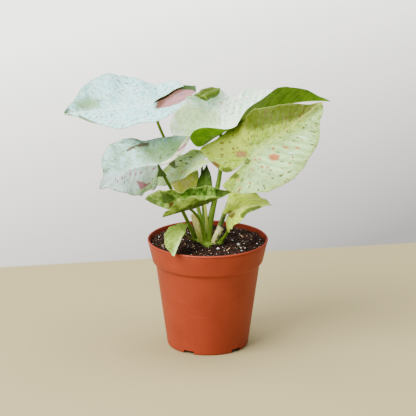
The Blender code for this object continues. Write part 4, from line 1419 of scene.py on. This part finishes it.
MARKS: dict[str, tuple] = {
    "upper_left": (
        Patch(StainAndPaintedLight.ROSE, ((156, 109), (159, 96), (168, 84), (186, 82), (198, 86), (197, 91), (190, 97),
              (180, 103), (168, 107)), side=1, soft=2.0),
        # painted shade: brown where the far lobe's edge shades the pink near lobe in the pocket
        Patch(StainAndPaintedLight.BROWN, ((154, 109), (157, 96), (166, 84), (178, 82), (187, 88), (177, 94.5), (166, 101),
              (160, 108)), side=1, soft=3.0),
        Patch(StainAndPaintedLight.FRESH, ((175, 88), (177, 78), (199, 78), (199, 93), (196.5, 92.5), (192, 90),
              (184, 89.5)), side=1, soft=1.0),
        Patch(StainAndPaintedLight.GREEN, ((74, 102), (88, 97), (100, 99), (99, 108), (84, 112), (76, 108)), soft=6),
        Patch(StainAndPaintedLight.FRESH, ((61, 118), (64, 111), (69, 108), (70, 113), (74, 117), (68, 119)), soft=2.5),
        Patch(StainAndPaintedLight.OLIVE, ((79, 115), (92, 121), (103, 125), (103, 128), (90, 124.5), (78, 118)),
              soft=1.2),
        *spots(StainAndPaintedLight.PINK, 2.6, 1.4, (110, 122)),
        *spots(StainAndPaintedLight.BROWN, 1.6, 1.0, (70, 115), (73, 111)),
    ),
    "mid_left": (
        # partly the leaf's own pale mint, partly painted light that brightens this lower half, which faces
        # away from the lamps
        Patch(StainAndPaintedLight.WHITE, ((99, 174), (128, 172), (158, 164), (162, 172), (150, 192), (128, 196),
              (98, 192)), soft=5),
        Patch(StainAndPaintedLight.PALE, ((136, 195), (150, 191), (158, 180), (162, 169), (159, 167), (154, 177),
              (148, 186), (137, 191)), soft=1.6),
        Patch(StainAndPaintedLight.GREEN, ((138, 147), (160, 143), (188, 138), (190, 150), (176, 160), (160, 165),
              (146, 160)), soft=8),
        Patch(StainAndPaintedLight.CREAM, ((189, 135), (191, 140), (183, 153), (173, 164), (160, 168), (159, 164),
              (170, 158.5), (178, 150), (184, 140)), soft=1.0),
        Patch(StainAndPaintedLight.PINK, ((136, 180), (148, 184), (151, 180.5), (150, 184), (140.5, 190)), soft=1.5),
        Patch(StainAndPaintedLight.BROWN, ((133, 146.3), (141, 143.0), (149, 142.4), (149, 145.4), (140, 147)), soft=1.0),
        Patch(StainAndPaintedLight.BROWN, ((126, 150.5), (130, 147), (134.5, 145.5), (135, 147.5), (131, 150), (127, 152)),
              soft=1.0),
        Patch(StainAndPaintedLight.PINK, ((177, 150.5), (185.5, 143), (187, 143.4), (186, 145.5), (177.8, 152.4)),
              soft=0.8),
        Patch(StainAndPaintedLight.DEEP, ((161, 163.2), (163.5, 168), (170, 177.3), (163, 174), (156.5, 177.3),
              (159.3, 168)), soft=1.0),
        *spots(StainAndPaintedLight.PINK, 2.8, 1.8, (130.5, 169.5), (136, 168.3), (141.3, 173), (136.5, 174), (154, 169)),
        *spots(StainAndPaintedLight.PINK, 3.4, 1.6, (130.7, 174.6), (123, 177.5), (118.5, 181.5), (148.5, 165)),
        *spots(StainAndPaintedLight.BROWN, 3.0, 1.8, (161, 157), (102.5, 170)),
        *spots(StainAndPaintedLight.BROWN, 5.0, 0.9, (107, 172)),
        *spots(StainAndPaintedLight.GREEN, 4.0, 3.0, (101, 189)),
    ),
    "upper_right": (
        Patch(StainAndPaintedLight.MOSS, ((174, 112), (184, 104), (204, 108), (218, 112), (220, 124), (200, 129),
              (178, 132)), soft=4),
        Patch(StainAndPaintedLight.MOSS, ((183, 128), (196, 128), (194, 133), (186, 137)), soft=2),
        Patch(StainAndPaintedLight.OLIVE, ((188, 98), (203, 86), (209, 83), (223, 84), (223, 95), (217, 105), (200, 104)),
              soft=1, under=True),
        *spots(StainAndPaintedLight.PINK, 2.2, 1.4, (220, 118), (233, 113), (248, 98)),
        *spots(StainAndPaintedLight.PINK, 1.2, 0.8, (226, 121), (239, 104), (212, 121)),
    ),
    "large_right": (
        Patch(StainAndPaintedLight.PALE, ((258, 152), (300, 134), (319, 112), (314, 150), (292, 180), (262, 192),
              (238, 194), (246, 176)), soft=14),
        # painted shade: the shadow of the upper right leaf over this leaf's top
        Patch(StainAndPaintedLight.OLIVE, ((233, 122), (248, 108), (285, 99), (322, 98), (318, 112), (298, 121),
              (280, 123), (262, 128), (238, 134)), soft=6),
        Patch(StainAndPaintedLight.OCHRE, ((203, 150), (222, 136), (240, 124), (252, 136), (246, 149), (226, 158),
              (210, 158)), soft=7),
        Patch(StainAndPaintedLight.MAUVE, ((235, 153), (240, 150.3), (247, 152), (246.5, 156), (240, 157.7), (236, 156.5)),
              soft=2.4),
        Patch(StainAndPaintedLight.SALMON, ((268.6, 155), (274, 153.3), (280, 155.5), (278, 160.5), (271, 161)), soft=2),
        *spots(StainAndPaintedLight.MAUVE, 6.0, 1.4, (287, 179.5)),
        *spots(StainAndPaintedLight.MAUVE, 4.0, 1.2, (284, 182)),
        Patch(StainAndPaintedLight.OLIVE, ((221, 168), (230, 167), (239.6, 176), (236, 179), (226, 177)), soft=1.3),
        Patch(StainAndPaintedLight.BROWN, ((207, 164), (214, 161), (220, 165), (219, 171), (211, 169)), soft=1.6),
        Patch(StainAndPaintedLight.DEEP, ((244, 160.5), (247.5, 158), (251, 160.3), (249, 164.3), (245.3, 164.3)),
              soft=1.0),
        *spots(StainAndPaintedLight.BROWN, 2.4, 1.4, (251.5, 136), (244, 141.5), (257, 144), (232.5, 147.5), (232.5, 152)),
        *spots(StainAndPaintedLight.SALMON, 2.8, 1.8, (272.8, 148.4), (291.8, 157.5), (289, 163.2), (258.8, 160),
               (254.6, 159.7), (261.6, 167.4), (267.5, 167), (252.5, 169.8), (250, 182.5), (239.5, 187.7),
               (237.4, 179.6)),
        *spots(StainAndPaintedLight.SALMON, 6.0, 1.7, (284.7, 148), (296.7, 147.7)),
        *spots(StainAndPaintedLight.SALMON, 2.0, 1.2, (311, 128), (301, 141), (276, 172), (266, 177), (281, 168)),
        *spots(StainAndPaintedLight.DARK, 1.8, 1.0, (262, 112), (285, 119), (297, 114.5), (305.6, 116.3), (289, 120),
               (282, 124.5), (286.6, 129.8)),
        # painted highlights: near-white glints on the blade
        *spots(StainAndPaintedLight.WHITE, 9.0, 1.1, (302, 136.5), (290, 153.7)),
    ),
    "centre": (
        Patch(StainAndPaintedLight.GREEN, ((182, 159), (190, 151), (204, 148), (206, 156), (194, 158)), soft=7),
        Patch(StainAndPaintedLight.OLIVE, ((192, 150), (206, 147), (207, 150), (198, 153)), soft=4),
        *spots(StainAndPaintedLight.BROWN, 3.0, 1.8, (180, 160), (186, 163), (176, 166), (190, 156)),
        Patch(StainAndPaintedLight.OLIVE, ((164, 163), (170, 160), (175, 160), (176, 169), (169, 165)), soft=1.2),
        Patch(StainAndPaintedLight.PALE, ((158, 180), (166, 176), (171, 180), (168, 188), (160, 188)), soft=3),
        Patch(StainAndPaintedLight.LIME, ((188, 143), (199, 141), (200, 150), (190, 151)), soft=2),
        *spots(StainAndPaintedLight.PINK, 2.6, 1.8, (170.8, 173.7), (181, 172)),
    ),
    "yellow": (
        Patch(StainAndPaintedLight.LIME, ((192, 167), (200, 168), (199, 178), (193, 179)), soft=2.5),
    ),
    "centre_upright": (
        Patch(StainAndPaintedLight.DEEP, ((202, 163), (211, 163), (210, 174), (201, 174)), soft=4),
    ),
    "low_folded": (
        Patch(StainAndPaintedLight.LIME, ((178, 202), (184, 198.6), (200, 199), (215, 199.6), (216, 196), (184, 195),
              (177, 199)), soft=1.2),
        Patch(StainAndPaintedLight.DEEP, ((174, 213), (188, 206), (202, 200), (217, 198), (214, 206), (196, 215),
              (174, 217)), soft=2.5, under=True),
        Patch(StainAndPaintedLight.DEEP, ((162, 194), (168, 193), (175, 198), (171, 204), (163, 202)), soft=4),
        Patch(StainAndPaintedLight.LIME, ((148, 193), (158, 188.5), (170, 188), (168, 191), (158, 192), (150, 197)),
              soft=1.5),
        Patch(StainAndPaintedLight.BROWN, ((168, 204.5), (173, 201.3), (179, 203.4), (176, 207.4), (170, 207.6)), soft=3),
        Patch(StainAndPaintedLight.DEEP, ((214, 186), (233, 186), (233, 199), (216, 197)), soft=3),
        *spots(StainAndPaintedLight.LIME, 4.0, 1.5, (210, 194.5), (212, 198.5)),
    ),
    "low_right": (
        Patch(StainAndPaintedLight.BROWN, ((225, 214.5), (230, 210), (236, 213), (232, 218.5)), soft=1.2),
        # painted shade: dark where the leaf's edge rolls under
        Patch(StainAndPaintedLight.DEEP, ((240, 214.5), (248, 208.5), (258, 205), (262, 206), (257, 212), (247, 218),
              (241, 218)), soft=1.2),
    ),
    "small_drooping": (
        # painted highlight: a pale sheen down the middle of the blade
        Patch(StainAndPaintedLight.PALE, ((181, 237), (183, 241), (176, 255), (172, 255), (177, 245)), soft=1.3),
    ),
}


def leaf_finishes() -> dict[str, LeafFinish]:
    """The colours of each leaf, by its name."""
    mint = LeafFinish(
        (168, 248, 244), (202, 253, 250), ((96, 128, 32), (82, 112, 28)), streak=((108, 168, 156), 0.7),
        vein=((222, 252, 250), 0.3), fleck=((92, 98, 104), 0.38), margin=((130, 168, 84), 0.8),
        tint=((162, 196, 218), 0.7), net_cover=0.42)
    speckled = replace(
        mint, ground=(190, 246, 234), mottle=(150, 210, 164), streak=((112, 156, 108), 0.45),
        fleck=((84, 94, 66), 0.42), margin=((122, 132, 56), 0.8), tint=((176, 190, 240), 0.6),
        net_cover=0.45)
    white = LeafFinish(
        (252, 254, 250), (240, 252, 236), ((112, 168, 4), (92, 146, 4)), streak=((168, 204, 124), 0.45),
        vein=((252, 253, 250), 0.3), fleck=((196, 124, 132), 0.12), margin=((196, 226, 140), 0.4),
        tint=((156, 238, 200), 0.8), net_cover=0.3)
    lime = LeafFinish(
        (110, 137, 20), (136, 164, 36), ((92, 104, 34), (78, 90, 26)), streak=((92, 114, 22), 0.5),
        vein=((194, 204, 112), 0.24), fleck=((84, 66, 30), 0.5), margin=((190, 206, 120), 0.25),
        tint=((158, 190, 92), 0.65), net_cover=0.45, mottle_share=0.6, shine=0.08)
    green = LeafFinish(
        (206, 236, 138), (214, 248, 196), ((84, 112, 34), (70, 96, 28)), streak=((116, 148, 70), 0.6),
        vein=((190, 216, 150), 0.3), fleck=((84, 112, 48), 0.4), net_cover=0.4, shine=0.1)
    yellow = LeafFinish(
        (234, 253, 104), (246, 253, 176), ((150, 168, 50), (130, 148, 40)), streak=((176, 198, 50), 0.6),
        vein=((230, 240, 140), 0.3), fleck=((140, 160, 44), 0.25), shine=0.1)
    dark = LeafFinish(
        (44, 72, 2), (64, 96, 8), ((66, 90, 30), (54, 76, 24)), streak=((34, 58, 4), 0.5),
        vein=((78, 106, 40), 0.35), fleck=((44, 66, 18), 0.25), margin=((56, 80, 24), 0.6), shine=0.1)
    folded = LeafFinish(
        (84, 120, 42), (140, 172, 78), ((164, 198, 92), (84, 120, 38)), streak=((44, 70, 22), 0.6),
        vein=((130, 154, 74), 0.4), fleck=((44, 70, 22), 0.4), margin=((158, 178, 88), 0.85),
        net_cover=0.4, mottle_size=6.0, shine=0.12)
    spring = LeafFinish(
        (178, 206, 44), (198, 220, 78), ((88, 118, 60), (74, 104, 50)), streak=((112, 142, 34), 0.7),
        vein=((226, 238, 130), 0.4), fleck=((110, 140, 40), 0.35), net_cover=0.35, shine=0.12)
    small = LeafFinish(
        (100, 130, 34), (136, 166, 60), ((112, 138, 50), (96, 122, 40)), streak=((80, 106, 28), 0.6),
        vein=((186, 206, 116), 0.5), fleck=((66, 92, 24), 0.5), net_cover=0.5, shine=0.12)
    return {
        "upper_left": mint, "mid_left": speckled, "upper_right": white, "large_right": lime,
        "centre": green, "yellow": yellow, "centre_upright": dark, "low_folded": folded,
        "low_right": spring, "small_drooping": small,
    }


def leaves() -> tuple[Blade, ...]:
    """The ten leaves, from the top of the plant down."""
    bare = (
        Blade("upper_left", (-47, 20, 210), 191, -2, -25, 78, droop=3, back_rise=-4, swerve=-2, twist=-20,
              left=Half(33, -30, 43, sinus=0.45, taper=1.1, fold=(17, 0, -7), curl=(1, -8, 24),
                        notch=(-3.5, 0.68, 0.09), lobe_rise=-1.5, tuck=44),
              right=Half(42, 22, 31, sinus=0.6, taper=0.8, fold=(0, 25, 6), curl=(-21, -3, -9))),
        Blade("mid_left", (-42, -22, 168), 208, 8, -53, 62, droop=37, swerve=17, twist=-6, ripple=0.08,
              left=Half(26, 36, 8, sinus=0.8, blunt=0.42, taper=0.95, sharp=0.5, fold=(-41, 4, -23),
                        curl=(-20, -11, -19)),
              right=Half(37, 28, 38, sinus=2, blunt=0.55, taper=0.85, sharp=0.45, fold=(-29, 20, 24),
                         curl=(-24, -21, 13), notch=(-3.0, 0.42, 0.10), swell=(10, 0.37, 0.10))),
        Blade("upper_right", (11, 13, 186), 39, 22, 15, 118, droop=25, tip_droop=8, back_rise=-3,
              swerve=-16, twist=-17, edge_bias=1.4, vein_gap=8.0, ripple=0.4, pucker=0.5, fineness=0.7,
              left=Half(41, 23, 42, blunt=0.4, taper=1.5, fold=(47, 32, 9), curl=(-3, -12, -6),
                        notch=(12, 0.45, 0.055), flap=(11, 150, 0.31, 0.10)),
              right=Half(33, 19, 35, sinus=6.0, taper=1.1, fold=(54, 82, 30), curl=(-19, -8, 9))),
        Blade("large_right", (34, -31.5, 175.4), -12, 41, 55, 82, droop=1, back_rise=-2, swerve=2, twist=1,
              vein_gap=8.0, ripple=0.55, pucker=0.9, fineness=0.6,
              left=Half(40, 35, 34, sinus=6.0, blunt=0.45, taper=1.1, fold=(-8, 16, 8), curl=(-7, -4, 4)),
              right=Half(38, 4, 32, blunt=0.65, taper=0.65, fold=(-5, 3, 2), curl=(-9, -8, -8))),
        Blade("centre", (-5, 13, 162), 178, -23, -20, 48, droop=10, swerve=-1, twist=-1,
              left=Half(13, 4, 9, taper=0.55, fold=(8, -3, 1), curl=(-7, -10, -10)),
              right=Half(18, 3, 6, taper=0.85, fold=(15, 13, 0))),
        Blade("yellow", (-18, 24, 153), -118, -79, -1, 29, droop=1, swerve=-1, twist=2,
              left=Half(13, 3, 5, taper=0.7, fold=(11, 9, 0)),
              right=Half(18, 3, 6, taper=0.9, fold=(13, 7, 0), curl=(-8, -10, -10))),
        Blade("centre_upright", (-3, 2, 131), 78, 69, 0, 30, droop=-3, swerve=-1, fineness=0.45,
              left=Half(8, 3, 5, fold=(12, 12, 0), curl=(-10, 0, -10)),
              right=Half(7, 3, 5, taper=0.9, fold=(12, 12, 0), curl=(-10, 0, -10))),
        Blade("low_folded", (-15, -22, 129), 0, 19, 36, 39, droop=-8, back_rise=-5, twist=7,
              left=Half(24, 21, 37, sinus=2, blunt=0.4, taper=0.8, fold=(48, 46, -36), curl=(68, 1, 17)),
              right=Half(27, -2, 25, sinus=0.8, taper=0.7, fold=(50, 58, 3), curl=(53, -8, 32))),
        Blade("low_right", (19, -20, 124), -25, 32, 16, 42, droop=28, twist=-21,
              left=Half(27, 6, 10, blunt=0.45, taper=0.9, fold=(19, -4, -8), curl=(2, -11, -14)),
              right=Half(19, 12, 8, sinus=2.6, blunt=0.45, taper=0.9, fold=(-16, 1, -32),
                         curl=(-19, -3, -26))),
        Blade("small_drooping", (-20.3, -33, 110.5), -113, -12, 14, 26.5, droop=43, swerve=2, twist=4,
              fineness=0.45,
              left=Half(4, -2, 4.6, taper=0.75, fold=(36, 31, 0), curl=(-3, -4, -5)),
              right=Half(16.4, 2.3, 14.7, taper=0.75, fold=(24, 9, 3), curl=(-18, -10, -9))),
    )
    finishes = leaf_finishes()
    return tuple(replace(blade, finish=finishes[blade.name], marks=MARKS[blade.name]) for blade in bare)


@dataclass(frozen=True)
class Studio:
    """Pale floor and soft light."""

    floor_size: float = 6.0
    back_start: float = 0.245
    back_slope: float = 0.19
    glow_near: float = -0.2
    glow_far: float = 2.1
    glow_left: float = 2.4
    glow_limit: float = 3.1
    line_half: float = 0.003
    aim_height: float = 0.12
    air_light: float = 0.54

    def floor(self) -> None:
        """A level sheet, sand-coloured in front and pale grey beyond a slanted line. Beyond the line it
        also glows as painted light, more towards the back and the left, up to a limit.
        """
        half = self.floor_size / 2
        mesh = bpy.data.meshes.new("studio_floor")
        mesh.from_pydata([(-half, -half, 0), (half, -half, 0), (half, half, 0), (-half, half, 0)], [],
                         [(0, 1, 2, 3)])
        sheet = add_object("studio_floor", mesh)
        tree = Tree("studio_floor", roughness=0.85, specular=0.2)
        place = tree.place()
        right, away = tree.axis(place, "X"), tree.axis(place, "Y")
        beyond = tree.plus(away, tree.times(right, -self.back_slope))
        share = tree.rise(beyond, self.back_start - self.line_half, self.back_start + self.line_half)
        # painted light: the far part glows, brighter towards the back and the left, as a lit backdrop would
        glow = tree.plus(tree.times(away, self.glow_far), self.glow_near)
        glow = tree.plus(glow, tree.times(right, -self.glow_left))
        glow = tree.sum("MINIMUM", tree.sum("MAXIMUM", glow, 0.0), self.glow_limit)
        tree.put(tree.surface.inputs["Emission Color"], (255, 253, 249))
        tree.put(tree.surface.inputs["Emission Strength"], tree.times(glow, share))
        mesh.materials.append(tree.colour(tree.mix(share, (164, 153, 113), (134, 133, 131))))

    def lamp(self, name: str, place: tuple, size: float, power: float) -> None:
        """A square, slightly warm soft light at a place, aimed at the plant."""
        data = bpy.data.lights.new(name, "AREA")
        data.size = size
        data.energy = power
        data.color = linear((255, 250, 244))[:3]
        lamp = add_object(name, data)
        lamp.location = place
        aim = np.array([0.0, 0.0, self.aim_height]) - np.array(place)
        flat = float(np.hypot(aim[0], aim[1]))
        lamp.rotation_euler = (float(np.arctan2(flat, -aim[2])), 0.0, float(np.arctan2(-aim[0], aim[1])))

    def set_up(self) -> None:
        """Makes the floor, the lights and the even light from all round."""
        self.floor()
        self.lamp("key_light", (-1.15, -1.0, 1.5), size=1.4, power=104.0)
        self.lamp("top_light", (0.0, 0.25, 2.0), size=1.5, power=62.0)
        world = bpy.data.worlds.new("studio_air")
        world.use_nodes = True
        air = world.node_tree.nodes["Background"].inputs
        air["Color"].default_value = (0.93, 0.95, 1.0, 1.0)
        air["Strength"].default_value = self.air_light
        bpy.context.scene.world = world


def main() -> None:
    """Builds the studio and every piece of the plant."""
    logging.basicConfig(level=logging.INFO, format="%(message)s")
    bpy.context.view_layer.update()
    lens = Lens()
    lens.set_up()
    Studio().set_up()
    pot, crown = Pot(), Crown()
    pot.build()
    Soil(pot, crown).build(lens, GRAINS)
    crown.build()
    blades = {blade.name: blade for blade in leaves()}
    for stalk in STALKS:
        stalk.build(blades)
    for blade in blades.values():
        blade.build(lens)
    bpy.context.view_layer.update()


if __name__ == "__main__":
    main()
